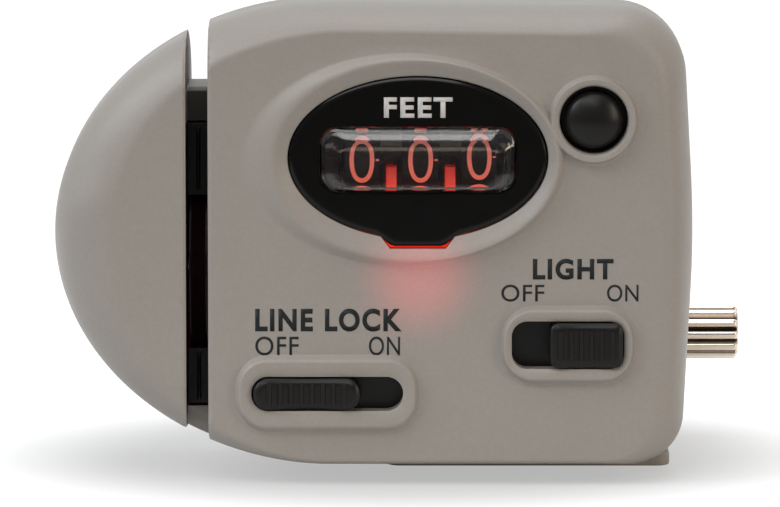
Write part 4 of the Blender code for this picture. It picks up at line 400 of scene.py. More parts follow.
def face_depth(points):
    """Depth of the moulded face at points (x, z): flat, with two round surrounds raised on it."""
    points = np.asarray(points, float)
    x, z = points[:, 0], points[:, 1]
    low, high = np.zeros(len(x)), np.full(len(x), 2.0)
    for _ in range(24):
        middle = (low + high) / 2
        centre, level, across, up = display_ring(middle)
        outside = ((x - centre) / across) ** 2 + ((z - level) / up) ** 2 > 1
        high = np.where(outside, middle, high)
        low = np.where(outside, low, middle)
    first = ring_height(low)
    reach = np.hypot(x - BUTTON[0], z - BUTTON[1])
    across = np.interp(-reach, -BUTTON_RINGS, (0, 1, 2))
    down = 1 - HOLE_RISE * ease(1.0, 2.0, across) - 0.3 * ease(1.8, 2.0, across)
    second = np.where(across < 1, ease(0.0, 1.0, across), down)
    lower, upper = np.minimum(first, second), np.maximum(first, second)
    blend = MELT * lower + 1e-6
    rise = upper + blend / 4 * np.clip(1 - (upper - lower) / blend, 0, None) ** 2
    rim = np.clip((reach - BUTTON_RINGS[2]) / 0.14, 0, 1)
    lip = np.clip((2 - low) / 0.08, 0, 1)
    return -(rise - HOLE_ROUND * (1 - rim) - HOLE_ROUND * (1 - lip) * (low > 1.8))


def tab_hole():
    """The opening round the bezel's lower tab."""
    x, low = DISPLAY[0], TAB_LOW - TAB_GAP
    wide, narrow = 4.4 + TAB_GAP, 2.85 + TAB_GAP
    corners = [(x - wide, TAB_TOP), (x - narrow, low), (x + narrow, low), (x + wide, TAB_TOP)]
    return matched(7 / 12, corners)[0]


WIDE, FLAT, INNER = matched(
    1.1,
    outline(),
    outline(*FLAT_INSET),
    outline(WALL, WALL, WALL, WALL),
)


def crease(x, z):
    """1 where the rolled edge meets the face in a crease, along the top and the upper wing, else 0."""
    return float(ease(31.5, 37.0, z) * (1 - ease(41.0, 46.0, x))) if x < SHOULDER or z > TOP / 2 else 0.0


def front_rows():
    """Rows of points up the inside of the front shell's wall and over its rolled edge to the flat."""
    ends = [radians(90 - 24 * crease(x, z)) for x, z in FLAT]
    rows = [at(INNER, 3.0), at(INNER, PARTING), at(WIDE, PARTING), at(WIDE, PARTING - 0.3)]
    steps = 16
    for step in range(steps + 1):
        row = []
        for (wx, wz), (fx, fz), end in zip(WIDE, FLAT, ends):
            turn = end * step / steps
            share = (1 - cos(turn)) / (1 - cos(end))
            row.append((wx + (fx - wx) * share, BAND * (1 - sin(turn) / sin(end)), wz + (fz - wz) * share))
        rows.append(row)
    return rows


def face_points(flat):
    """Loose points that the face is meshed on: rings along both surrounds and a plain grid elsewhere."""
    loose = []
    for share in STEP_SHARES[:-1]:
        ring = oval(*display_ring(share), 280)
        loose += [p for p in ring if (Vector(p) - Vector(BUTTON)).length > BUTTON_RINGS[0] + 0.13]
        reach = np.interp(share, (0, 1, 2), BUTTON_RINGS)
        loose += oval(*BUTTON, reach, reach, 80)
    grid = [(x, z) for x in np.arange(-9, 53, MESH_STEP) for z in np.arange(3.5, 51.5, MESH_STEP)]
    keep = inside(flat, grid) & ~inside(oval(*(DISPLAY_RINGS[0] + (0, 0, 0.7, 0.7)), 60), grid)
    for centre, ((width, height, corner), *_) in SWITCHES:
        keep &= ~inside(long_ring(centre, width + 1.1, height + 1.1, corner), grid)
    far = BUTTON_RINGS[0] + 0.78
    return loose + [p for p, kept in zip(grid, keep) if kept and (Vector(p) - Vector(BUTTON)).length > far]


def front_shape():
    """The front shell's outer skin, its slot and its openings."""
    shape = bmesh.new()
    strip_faces(shape, front_rows())
    flat_inset = matched(9, outline(*GRID_INSET))[0]
    button_hole = oval(*BUTTON, BUTTON_RINGS[2], BUTTON_RINGS[2], 80)
    toes = [long_ring(centre, *rings[0]) for centre, rings in SWITCHES]
    holes = [oval(*DISPLAY_RINGS[2], 200), tab_hole(), button_hole, *toes]
    points, edges = [], []
    for loop in (FLAT, flat_inset, *holes):
        start = len(points)
        points += loop
        edges += [(start + k, start + (k + 1) % len(loop)) for k in range(len(loop))]
    points += face_points(flat_inset)
    placed, _, triangles, *_ = delaunay_2d_cdt([Vector(p) for p in points], edges, [], 0, 1e-4)
    placed = np.array([tuple(p) for p in placed])
    middles = placed[np.array(triangles)].mean(1)
    keep = inside(FLAT, middles)
    for hole in holes:
        keep &= ~inside(hole, middles)
    made = [shape.verts.new((x, y, z)) for (x, z), y in zip(placed, face_depth(placed))]
    for triangle, kept in zip(triangles, keep):
        if kept and max(triangle) >= len(FLAT):
            shape.faces.new([made[k] for k in triangle])
    bmesh.ops.delete(shape, geom=[v for v in made if not v.link_faces], context="VERTS")
    bmesh.ops.remove_doubles(shape, verts=shape.verts, dist=SKIN_WELD)
    sunk = [e for e in shape.edges if e.is_boundary and all(not on_toe(v.co) and v.co.y < 2 for v in e.verts)]
    for item in bmesh.ops.extrude_edge_only(shape, edges=sunk)["geom"]:
        if isinstance(item, bmesh.types.BMVert):
            item.co.y = WALL
    for centre, rings in SWITCHES:
        rows = []
        for share in STEP_SHARES:
            size = [np.interp(share, (0, 1, 2), values) for values in zip(*rings)]
            rows.append(at(long_ring(centre, *size), -rim_height(share)))
        rows.append(at(long_ring(centre, *rings[2]), HOLE_ROUND - rim_height(2)))
        rows.append(at(long_ring(centre, *rings[2]), WALL))
        strip_faces(shape, rows)
    bmesh.ops.remove_doubles(shape, verts=shape.verts, dist=SKIN_WELD)
    open_slot(shape)
    return shape


def on_toe(point):
    """Whether a point lies on the toe of a switch's surround, where the face goes on."""
    for (x, z), ((width, height, _), *_) in SWITCHES:
        if abs(point.x - x) < width / 2 + 0.01 and abs(point.z - z) < height / 2 + 0.01:
            return True
    return False


def rim_height(share):
    """How far a switch's surround stands proud, from its toe over a soft crest down to the opening."""
    return float(RIM_RISE * sin(pi / 2 * share) ** 1.2 if share < 1 else RIM_RISE - 0.34 * (share - 1) ** 2.2)


def slot_depth(z):
    """How deep the grey wall of the slot goes at a height."""
    if KEEPER_LOW < z < KEEPER_HIGH:
        return KEEPER_FRONT
    if LINER_LOW < z < LINER_HIGH:
        return LIP
    return PARTING if z > BRIDGE_TOP else SLOT_FLOOR


def open_slot(shape):
    """Cuts the line slot through the skin, rounds its edges and gives it its walls, webs and bridge."""
    for x in (-HALF_SLOT - SLOT_EDGE, -HALF_SLOT, HALF_SLOT, HALF_SLOT + SLOT_EDGE):
        split(shape, (x, 0, 0), (1, 0, 0))
    for z in (LINER_LOW, KEEPER_LOW, KEEPER_HIGH, LINER_HIGH, BRIDGE_TOP):
        split(shape, (0, 0, z), (0, 0, 1), 4)
    split(shape, (0, SLOT_FLOOR, 0), (0, 1, 0), 4)
    gone = []
    for face in shape.faces:
        middle = face.calc_center_median()
        if abs(middle.x) < HALF_SLOT and (middle.y < SLOT_FLOOR or middle.z > BRIDGE_TOP):
            gone.append(face)
    bmesh.ops.delete(shape, geom=gone, context="FACES")
    rims = []
    for edge in shape.edges:
        beside = all(abs(abs(v.co.x) - HALF_SLOT) < 0.002 for v in edge.verts)
        if edge.is_boundary and beside and min(v.co.y for v in edge.verts) < PARTING - 0.01:
            rims.append(edge)
    shape.normal_update()
    for vertex in {v for e in rims for v in e.verts}:
        outward = Vector((0, vertex.normal.y, vertex.normal.z))
        if outward.length > 0.1 and vertex.co.y < SLOT_FLOOR - 0.01:
            vertex.co -= outward.normalized() * SLOT_EDGE * 0.8
    for edge in rims:
        first, second = edge.verts
        side = 1 if first.co.x > 0 else -1
        deep = slot_depth((first.co.z + second.co.z) / 2)
        if min(first.co.y, second.co.y) > deep - 0.01:
            continue
        ends = [shape.verts.new((v.co.x, max(deep, v.co.y), v.co.z)) for v in (first, second)]
        quad(shape, first, second, ends[1], ends[0])
        if deep == LIP:
            step = [shape.verts.new((side * RECESS, LIP, v.co.z)) for v in (first, second)]
            back = [shape.verts.new((side * RECESS, PARTING, v.co.z)) for v in (first, second)]
            quad(shape, ends[0], ends[1], step[1], step[0])
            quad(shape, step[0], step[1], back[1], back[0])
    across = (-HALF_SLOT, HALF_SLOT)
    level = [v.co for v in shape.verts if abs(v.co.y - SLOT_FLOOR) < 0.01]
    foot = [(x, SLOT_FLOOR, min(co.z for co in level if abs(co.x - x) < 0.02)) for x in across]
    strip_faces(shape, [foot, [(x, SLOT_FLOOR, LINER_LOW) for x in across]], ring=False)
    bevel = 0.25
    profile = [(PARTING, LINER_HIGH), (SLOT_FLOOR, LINER_HIGH), (SLOT_FLOOR, BRIDGE_TOP - bevel)]
    profile += [(SLOT_FLOOR + bevel * 0.3, BRIDGE_TOP - bevel * 0.3), (SLOT_FLOOR + bevel, BRIDGE_TOP)]
    profile += [(PARTING, BRIDGE_TOP)]
    # The upper bridge's faces take the second finish, black: painted shade, where the bridge lies deep in the
    # slot.
    skin = set(shape.faces)
    strip_faces(shape, [[(x, y, z) for x in across] for y, z in profile], ring=False)
    for face in set(shape.faces) - skin:
        face.material_index = 1


def split(shape, point, normal, reach=None):
    """Puts a row of edges where a plane meets the skin, only near the slot if a reach is given."""
    faces = [f for f in shape.faces if reach is None or abs(f.calc_center_median().x) < reach]
    parts = {e for f in faces for e in f.edges} | {v for f in faces for v in f.verts} | set(faces)
    bmesh.ops.bisect_plane(shape, geom=list(parts), dist=0.0005, plane_co=point, plane_no=normal)


def quad(shape, *corners):
    """A face between four corners, or a triangle where two of them meet."""
    kept = []
    for corner in corners:
        if all((corner.co - other.co).length > 0.001 for other in kept):
            kept.append(corner)
    if len(kept) > 2:
        shape.faces.new(kept)


# The slot's upper bridge, of the same taupe moulding, is finished black as painted shade deep in the slot.
BRIDGE_PAINTED_SHADE = moulded("bridge_black", (0.03, 0.026, 0.02), 0.5)
front = piece("front_moulding", front_shape(), FRONT_SKIN_PAINTED_GLOW, toward=(0, -1, 0))
front.data.materials.append(BRIDGE_PAINTED_SHADE)
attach(front, "housing")
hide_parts("front_shell")


# Rear shell. The back half of the same moulding, rolled in to a flat back, with a notch behind the slot,
# a round opening for the coin cell's door and four deep counterbores for the screws. It closes on the front
# shell along the parting line.

BACK = 28.0
CELL = (40.2, 38.2)
DOOR_R = 10.9
BOSSES = ((49.8, 48.0), (12.0, 5.4), (-7.7, 27.95), (49.8, 7.9))
BOSS_R, BOSS_END = 2.6, 27.05
HEAD_SEAT, HEAD_BORE, SHANK_BORE = 23.9, 1.95, 1.15
PAST = 31.0


def closed(rows):
    """A closed shape through rows of points, its first and last rows filled."""
    shape = bmesh.new()
    made = strip_faces(shape, rows)
    shape.faces.new(made[0])
    shape.faces.new(made[-1])
    bmesh.ops.recalc_face_normals(shape, faces=shape.faces)
    return shape


def turned(axis, centre, profile, steps=64):
    """A turned shape: (radius, along) points swept round an axis through a centre."""
    shape = bmesh.new()
    lift = {"x": (0, 1, 2), "y": (2, 0, 1), "z": (1, 2, 0)}[axis]
    rows = []
    for radius, along in profile:
        row = []
        for k in range(steps):
            angle = 2 * pi * k / steps
            place = (along, radius * cos(angle), radius * sin(angle))
            row.append(Vector(centre) + Vector([place[i] for i in lift]))
        rows.append(row)
    strip_faces(shape, rows)
    bmesh.ops.remove_doubles(shape, verts=shape.verts, dist=0.0005)
    bmesh.ops.recalc_face_normals(shape, faces=shape.faces)
    return shape


def block(low, high):
    """A plain block between two corners, for cutting or joining."""
    shape = bmesh.new()
    bmesh.ops.create_cube(shape, size=1)
    low, high = Vector(low), Vector(high)
    bmesh.ops.scale(shape, vec=high - low, verts=shape.verts)
    bmesh.ops.translate(shape, vec=(low + high) / 2, verts=shape.verts)
    return shape


def settled(holder, *tools):
    """The shape of an object with its modifiers applied. The object and its tools are removed."""
    bpy.context.view_layer.update()
    mesh = bpy.data.meshes.new_from_object(holder.evaluated_get(bpy.context.evaluated_depsgraph_get()))
    for used in (holder, *tools):
        bpy.data.objects.remove(used, do_unlink=True)
    made = bmesh.new()
    made.from_mesh(mesh)
    return made


def carve(shape, *steps):
    """Joins or cuts shapes one after another, each step (operation, shape), and gives the result."""
    target = linked("work", meshed("work", shape))
    tools = []
    for operation, tool in steps:
        tools.append(linked("tool", meshed("tool", tool)))
        change = target.modifiers.new("change", "BOOLEAN")
        change.operation = operation
        change.object = tools[-1]
        change.solver = "EXACT"
    return settled(target, *tools)


SKINS = (0, 0.9, WALL)
DRAFT_SHARE = 0.35
BACK_LINES = matched(
    1.8,
    *[outline(inset, inset, inset, inset) for inset in SKINS],
    *[outline(9.0 + inset, 4.5 + inset, 3.0 + inset, 3.5 + inset, corner=3.2) for inset in SKINS],
)


def back_rows(inset, start, steps):
    """Rows of the rear shell from its front edge over the rolled edge to the flat back."""
    skin = SKINS.index(inset)
    wide, flat = BACK_LINES[skin], BACK_LINES[skin + len(SKINS)]
    rows = []
    for step in range(steps + 1):
        turn = pi / 2 * step / steps
        depth = start + (BACK - inset - start) * sin(turn)
        share = (1 - DRAFT_SHARE) * (1 - cos(turn)) + DRAFT_SHARE * sin(turn)
        rows.append([(a + (c - a) * share, depth, b + (d - b) * share) for (a, b), (c, d) in zip(wide, flat)])
    return rows


def rear_shape():
    """The rear shell with its posts, the cell's cup, the notch and the holes."""
    seam = PARTING + 0.3
    outer, inner = back_rows(0, seam, 12), back_rows(WALL, seam, 8)
    shape = bmesh.new()
    outside = strip_faces(shape, outer)
    inside_rows = strip_faces(shape, inner)
    shape.faces.new(outside[-1])
    shape.faces.new(inside_rows[-1])
    for k in range(len(outside[0])):
        n = (k + 1) % len(outside[0])
        shape.faces.new((outside[0][k], outside[0][n], inside_rows[0][n], inside_rows[0][k]))
    bmesh.ops.recalc_face_normals(shape, faces=shape.faces)
    web = carve(
        block((-2.85, seam, BRIDGE_TOP - 5.0), (2.85, PAST, TOP)),
        ("INTERSECT", closed(back_rows(0.9, seam, 8))),
    )
    cup = [(11.95, 27.0), (11.95, 22.8), (8.2, 22.8), (8.2, 23.1), (10.3, 23.1), (10.3, 27.0), (11.95, 27.0)]
    steps = [("UNION", web), ("UNION", turned("y", (CELL[0], 0, CELL[1]), cup, 72))]
    post = [(0, seam + 0.01), (BOSS_R, seam + 0.01), (BOSS_R, BOSS_END), (0, BOSS_END)]
    steps += [("UNION", turned("y", (x, 0, z), post, 32)) for x, z in BOSSES]
    for front_y, drop in ((seam - 3, 0), (20.6, 3.2)):
        notch = block((-HALF_SLOT, front_y, BRIDGE_TOP - drop), (HALF_SLOT, PAST, TOP + 3))
        steps.append(("DIFFERENCE", notch))
    mouth = DOOR_R + 0.35
    door = [(0, 26.0), (DOOR_R, 26.0), (DOOR_R, 27.8), (mouth, 28.15), (mouth, PAST), (0, PAST)]
    steps.append(("DIFFERENCE", turned("y", (CELL[0], 0, CELL[1]), door, 96)))
    for radius, start, sides in ((HEAD_BORE, HEAD_SEAT, 32), (SHANK_BORE, 9, 20)):
        bore = [(0, start), (radius, start), (radius, PAST), (0, PAST)]
        steps += [("DIFFERENCE", turned("y", (x, 0, z), bore, sides)) for x, z in BOSSES]
    return carve(shape, *steps)


rear = piece("rear_moulding", rear_shape(), HOUSING_SKIN, sharp=30)
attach(rear, "housing")
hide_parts("rear_shell")


# Screws. Six small steel pan-head screws, four that draw the shells together from the back and two that hold
# the clamp's plate, each with a cross recess. They are turned, plated and driven into blind posts.

STEEL = moulded("plated_steel", (0.56, 0.56, 0.55), 0.3, grain=900.0, depth=0.000004, worn=0.1, Metallic=1.0)


def tree(name, inputs):
    """A new Geometry Nodes tree: the tree, its inputs and the two functions that add to it."""
    made = bpy.data.node_groups.new(name, "GeometryNodeTree")
    for label, kind, value in (("Points", "Geometry", None), *inputs):
        socket = made.interface.new_socket(label, in_out="INPUT", socket_type="NodeSocket" + kind)
        if value is not None:
            socket.default_value = value
    made.interface.new_socket("Geometry", in_out="OUTPUT", socket_type="NodeSocketGeometry")
    return made, made.nodes.new("NodeGroupInput").outputs, *workers(made)


def close_tree(add, points, shape, finish):
    """Ends a tree: its shape at each point, as real geometry of one material."""
    spread = add("GeometryNodeInstanceOnPoints", {"Points": points, "Instance": shape.outputs[0]})
    real = add("GeometryNodeRealizeInstances", {"Geometry": spread.outputs[0]})
    dressed = add("GeometryNodeSetMaterial", {"Geometry": real.outputs[0], "Material": finish})
    add("NodeGroupOutput", {0: dressed.outputs[0]})


def grown(made, points, **values):
    """Runs a tree on loose points, in millimetres, and gives its shape."""
    mesh = bpy.data.meshes.new("points")
    mesh.from_pydata(points, [], [])
    holder = linked("points", mesh)
    step = holder.modifiers.new("make", "NODES")
    step.node_group = made
    for item in made.interface.items_tree:
        label = item.name.replace(" ", "_").lower()
        if item.in_out == "INPUT" and label in values:
            step[item.identifier] = values[label]
    return settled(holder)


def screw_tree():
    """A pan-head screw with a cross recess, its head towards +y, at each point."""
    made, given, add, maths = tree(
        "cross_screws",
        (
            ("Head Radius", "Float", 1.8),
            ("Head Height", "Float", 1.2),
            ("Shank Radius", "Float", 1.0),
            ("Shank Length", "Float", 10.0),
        ),
    )
    round_head = {"Vertices": 32, "Radius": given["Head Radius"], "Depth": given["Head Height"]}
    head = add("GeometryNodeMeshCylinder", round_head)
    cut = add("GeometryNodeMeshBoolean", {"Mesh 1": head.outputs["Mesh"]}, operation="DIFFERENCE")
    for turn in (0.0, pi / 2):
        bar = add("GeometryNodeMeshCube", {"Size": (2.3, 0.42, 1.2)})
        place = {"Geometry": bar.outputs[0], "Translation": (0, 0, 0.75), "Rotation": (0, 0, turn)}
        feed(made, cut, {"Mesh 2": add("GeometryNodeTransform", place).outputs[0]})
    rod = {"Vertices": 20, "Radius": given["Shank Radius"], "Depth": given["Shank Length"]}
    shank = add("GeometryNodeMeshCylinder", rod)
    drop = add("ShaderNodeCombineXYZ", {"Z": maths("MULTIPLY", given["Shank Length"], -0.5)})
    lowered = {"Geometry": shank.outputs["Mesh"], "Translation": drop.outputs[0]}
    whole = add("GeometryNodeJoinGeometry", {0: cut.outputs["Mesh"]})
    feed(made, whole, {0: add("GeometryNodeTransform", lowered).outputs[0]})
    facing_back = add("GeometryNodeTransform", {"Geometry": whole.outputs[0], "Rotation": (-pi / 2, 0, 0)})
    close_tree(add, given["Points"], facing_back, STEEL)
    return made


SCREWS = screw_tree()
HEAD_DEPTH = 24.8
SHELL_SCREWS = [(x, HEAD_DEPTH, z) for x, z in BOSSES]
PLATE_SCREWS = [(32.8, 30.05, z) for z in (5.6, 18.8)]
for name, points, length, node in (
    ("shell_screws", SHELL_SCREWS, 18.0, "housing_screw"),
    ("plate_screws", PLATE_SCREWS, 2.8, "clamp_plate_screw"),
):
    screws = piece(name, grown(SCREWS, points, shank_length=length), STEEL, sharp=30)
    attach(screws, "housing")
    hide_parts(*[f"{node}_{k + 1}" for k in range(len(points))])


# Cell door. A disc in the housing's plastic with a coin slot, held in the rear shell's opening by an eighth
# of a turn. Its rim is chamfered, and the slot has a shallow dish round it for a coin's edge.


def door_shape():
    """The round door with its dished coin slot."""
    disc = [(0, 25.2), (9.1, 25.2), (9.1, 26.2), (10.75, 26.2), (10.75, 27.6), (10.5, 27.9), (10.2, 28.0)]
    disc += [(7.6, 28.0), (7.3, 27.85), (0, 27.85)]
    x, z = CELL
    corners = [(x + 7, z + 0.8), (x - 7, z + 0.8), (x - 7, z - 0.8), (x + 7, z - 0.8)]
    line = rounded([(a, b, 0.75) for a, b in corners], 8)
    slot = closed([at(line, 27.2), at(line, PAST)])
    return carve(turned("y", (x, 0, z), disc, 96), ("DIFFERENCE", slot))


door = piece("cell_cover", door_shape(), HOUSING_SKIN, sharp=30)
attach(door, "door")
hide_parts("cell_door")


# Bezel and lens. The bezel is a glossy black moulding with a rolled edge, an oval with a short tab below,
# pressed into its surround. The lens is a clear domed window glued in its seat. The word above it is printed
# in pale grey, and the words by the switches in dark grey.

BLACK = (0.0032, 0.003, 0.0028)
BLACK_GLOSS = moulded("gloss_black", BLACK, 0.15, 700.0, 0.0000015, worn=0.6, Specular_IOR_Level=0.24)
BEZEL_HALVES = (14.4, 9.05)
LENS_SIZE = (22.1, 7.5, 2.2)
LENS_BACK = ((3.4, -0.34), (2.4, -0.335), (1.9, -0.3), (1.6, -0.2), (1.3, -0.05), (1.0, 0.12), (0.75, 0.26))
LENS_BACK += ((0.6, 0.36), (0.6, 0.5))
LENS_CROWN = ((0, 0.5), (0, 0.22), (0.03, 0.13), (0.1, 0.07), (0.45, -0.124), (0.8, -0.318), (1.15, -0.512))
LENS_CROWN += ((1.4, -0.65), (1.5, -0.69), (1.65, -0.715), (1.95, -0.73), (2.6, -0.738), (3.4, -0.74))
LENS_LOWER_SHARE = 0.3
DRUM_GAPS = (21.73, 28.31)


def bezel_outline(shrink):
    """The oval with its tab, the two run together by small hollow curves, drawn in by an amount."""
    across, up = (half - shrink for half in BEZEL_HALVES)
    x0, z0 = DISPLAY[0], DISPLAY_RINGS[2][1]
    points = []
    for k in range(160):
        angle = -pi / 2 + 2 * pi * (k + 0.5) / 160
        x, z = x0 + across * cos(angle), z0 + up * sin(angle)
        aside = abs(x - x0)
        if z < z0 and aside < 5.2:
            low = TAB_LOW + shrink
            slope = np.interp(aside, (0, 2.75 - shrink, 2.95 - shrink, 4.25, 4.4), (0, 0, 0.05, 0.93, 1))
            z = low + (z - low) * slope if aside > 2.75 - shrink else low
        points.append((x, z))
    return points


def bezel_shape():
    """The black bezel with its window, set a little back from its rolled edge."""
    edge = ((0, 1.3), (0, 0.1), (0.04, -0.02), (0.3, -0.165), (0.4, -0.195), (0.5, -0.2), (0.75, -0.2))
    shape = closed([at(bezel_outline(inset), y) for inset, y in edge])
    seat = closed([at(long_window(0.15), y) for y in (-3, 0.55)])
    window = closed([at(long_window(-0.7), y) for y in (-3, 4)])
    # Two black fingers behind the window fill the gaps between the drums: a dark sheet standing in as painted
    # shade.
    painted_shade_fingers = [("UNION", block((x - 1.2, 1.2, 36.95), (x + 1.2, 1.9, 41.5))) for x in DRUM_GAPS]
    return carve(shape, ("DIFFERENCE", seat), ("DIFFERENCE", window), *painted_shade_fingers)


def long_window(grow):
    """The lens's outline, grown or drawn in."""
    width, height, corner = LENS_SIZE
    across, up, radius = (width + grow) / 2, (height + grow) / 2, corner + grow / 2
    x, z = DISPLAY
    corners = [(x + across, z + up), (x - across, z + up), (x - across, z - up), (x + across, z - up)]
    points = rounded([(a, b, radius) for a, b in corners], 10)
    return matched(0.8, points)[0]


bezel = piece("display_surround", bezel_shape(), BLACK_GLOSS, sharp=40)
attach(bezel, "housing")
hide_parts("display_bezel")


def clear_plastic():
    """Clear acrylic with the faintest swirl of polishing."""
    made, shader, add = material("clear_acrylic")
    place = add("ShaderNodeTexCoord").outputs["Object"]
    swirl = add("ShaderNodeTexNoise", {"Vector": place, "Scale": 600.0}).outputs["Fac"]
    rough = add("ShaderNodeMapRange", {"Value": swirl, "To Min": 0.02, "To Max": 0.06}).outputs[0]
    clear = {"Base Color": (0.97, 0.95, 0.95, 1), "Transmission Weight": 1.0, "IOR": 1.5, "Roughness": rough}
    feed(made.node_tree, shader, clear)
    return made


def lens_shape():
    """The domed window, an even shell with a sloping border round its crown."""
    rows = []
    edge = long_window(-0.15)
    x0, z0 = DISPLAY
    for inset, y in (*LENS_BACK, *LENS_CROWN):
        wide = 1 - inset / (LENS_SIZE[0] / 2)
        up, down = (1 - inset * share / (LENS_SIZE[1] / 2) for share in (1, LENS_LOWER_SHARE))
        rows.append([(x0 + (x - x0) * wide, y, z0 + (z - z0) * (up if z > z0 else down)) for x, z in edge])
    return closed(rows)


lens = piece("domed_window", lens_shape(), clear_plastic(), sharp=60)
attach(lens, "housing")
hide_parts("lens")


PRINT_HEIGHT = 0.04


def ink(name, colour):
    """Printed ink, a little uneven where the pad left it."""
    uneven = {"grain": 1800.0, "depth": 0.000003, "worn": 0.0, "cloud": 0.12}
    return moulded(name, colour, 0.55, **uneven, Specular_IOR_Level=0.2)


def lettering(text, left, right, low, high, bold):
    """Words in Blender's own font, drawn to fit a box, as a flat mesh in millimetres."""
    curve = bpy.data.curves.new(text, "FONT")
    curve.body = text
    curve.resolution_u = 6
    curve.offset = bold
    curve.space_character = 1.16 if bold > 0.01 else 1.06
    shape = settled(linked(text, curve))
    bmesh.ops.remove_doubles(shape, verts=shape.verts, dist=0.00001)
    xs, ys = [v.co.x for v in shape.verts], [v.co.y for v in shape.verts]
    corner, far = (min(xs), min(ys)), (max(xs), max(ys))
    for vertex in shape.verts:
        across = (vertex.co.x - corner[0]) / (far[0] - corner[0])
        up = (vertex.co.y - corner[1]) / (far[1] - corner[1])
        vertex.co = (left + (right - left) * across, low + (high - low) * up, 0)
    return shape


def raise_print(shape, height):
    """Makes flat print solid, up to a height."""
    for item in bmesh.ops.extrude_face_region(shape, geom=shape.faces[:])["geom"]:
        if isinstance(item, bmesh.types.BMVert):
            item.co.z = height


def printed(name, words, finish, y):
    """A print of several words on one flat, standing three hundredths of a millimetre proud."""
    whole = bmesh.new()
    for word in words:
        shape = lettering(*word)
        raise_print(shape, PRINT_HEIGHT)
        for vertex in shape.verts:
            vertex.co = (vertex.co.x, y - vertex.co.z, vertex.co.y)
        whole.from_mesh(meshed("word", shape))
    bmesh.ops.recalc_face_normals(whole, faces=whole.faces)
    made = linked(name, meshed(name, whole))
    made.data.transform(TO_ROW)
    made.data.materials.append(finish)
    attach(made, "housing")


BOLD, BROAD, FINE = 0.034, 0.036, 0.002
UNIT_WORD = [("FEET", 20.91, 28.56, 41.55, 43.84, BOLD)]
SWITCH_WORDS = [
    ("LIGHT", 37.55, 46.55, 23.33, 25.69, BROAD),
    ("OFF", 34.03, 38.83, 20.86, 22.77, FINE),
    ("ON", 45.84, 49.36, 20.86, 22.77, FINE),
    ("LINE LOCK", 6.52, 22.89, 17.48, 20.07, BROAD),
    ("OFF", 6.52, 11.36, 14.78, 16.92, FINE),
    ("ON", 19.23, 22.71, 14.78, 16.92, FINE),
]
printed("unit_word", UNIT_WORD, ink("pale_grey_ink", (0.60, 0.59, 0.58)), -0.19)
printed("switch_words", SWITCH_WORDS, ink("dark_grey_ink", (0.014, 0.0165, 0.018)), 0.01)


# Digit drums. Three dark moulded drums side by side, each with the numerals 0 to 9 printed round its rim and
# a short dash by each numeral. The red light from below is painted into the numerals, as a salmon tint and a
# glow that is brighter and redder low down.

DRUM_R = 9.4
DRUM_AXIS = (12.6, 36.8)
DRUM_PLACES = (("hundreds", 18.44, 2.3), ("tens", 25.02, 2.3), ("units", 31.6, 0.2))
NUMERAL, NUMERAL_HEIGHT = (2.8, 5.35), 0.05
NARROW = {1: 0.42}
DASH = ((1.55, -0.1), (1.93, -0.1), (1.93, 0.1), (1.55, 0.1))


def lit(made, low, high, first, second, strength):
    """Makes a material glow, from one colour at a height up to another colour at a second height."""
    add, _ = workers(made.node_tree)
    place = add("ShaderNodeTexCoord").outputs["Object"]
    height = add("ShaderNodeSeparateXYZ", {0: place}).outputs["Z"]
    rise = add("ShaderNodeMapRange", {"Value": height, "From Min": low * MM, "From Max": high * MM})
    return shining(made, rise.outputs[0], first, second, strength)


# Painted light: the numerals' salmon tint and red glow stand in for the guide's light from below.
NUMERAL_INK_PAINTED_GLOW = ink("numeral_ink", (0.72, 0.30, 0.25))
lit(NUMERAL_INK_PAINTED_GLOW, 33.2, 39.6, (0.85, 0.10, 0.045), (0.2, 0.045, 0.04), 0.6)


def numerals(turn):
    """The numerals 0 to 9 and their dashes, wrapped round a drum, the nought turned down by an angle."""
    whole = bmesh.new()
    for digit in range(10):
        middle = radians(36 * digit - turn)
        half = NUMERAL[0] / 2 * NARROW.get(digit, 1)
        shape = lettering(str(digit), -half, half, -NUMERAL[1] / 2, NUMERAL[1] / 2, -0.012)
        shape.faces.new([shape.verts.new((x, y, 0)) for x, y in DASH])
        for k in range(-6, 7):
            geom = shape.verts[:] + shape.edges[:] + shape.faces[:]
            bmesh.ops.bisect_plane(shape, geom=geom, plane_co=(0, k * 0.45, 0), plane_no=(0, 1, 0))
        raise_print(shape, NUMERAL_HEIGHT)
        for vertex in shape.verts:
            angle = middle + vertex.co.y / DRUM_R
            reach = DRUM_R - 0.02 + vertex.co.z
            vertex.co = (vertex.co.x, DRUM_AXIS[0] - reach * cos(angle), DRUM_AXIS[1] + reach * sin(angle))
        whole.from_mesh(meshed("numeral", shape))
    return whole


for body, place, turn in DRUM_PLACES:
    shape = numerals(turn)
    bmesh.ops.translate(shape, vec=(place, 0, 0), verts=shape.verts)
    band = piece(f"{body}_numerals", shape, NUMERAL_INK_PAINTED_GLOW, sharp=30)
    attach(band, body)


# Light guide. A bar of clear red plastic under the drums, with a prong up between each pair, lit from a red
# lamp behind it. It sits close behind the bezel's tab, and its light leaks out round the tab.

RED_GLOW = moulded("red_guide", (0.75, 0.03, 0.015), 0.2, grain=500.0, depth=0.000003, worn=0.0)
lit(RED_GLOW, 31.0, 35.6, (0.9, 0.03, 0.004), (0.1, 0.001, 0.002), 0.95)
GUIDE_FRONT, PRONG_HALF, PRONG_TOP = 2.1, 0.6, 35.8


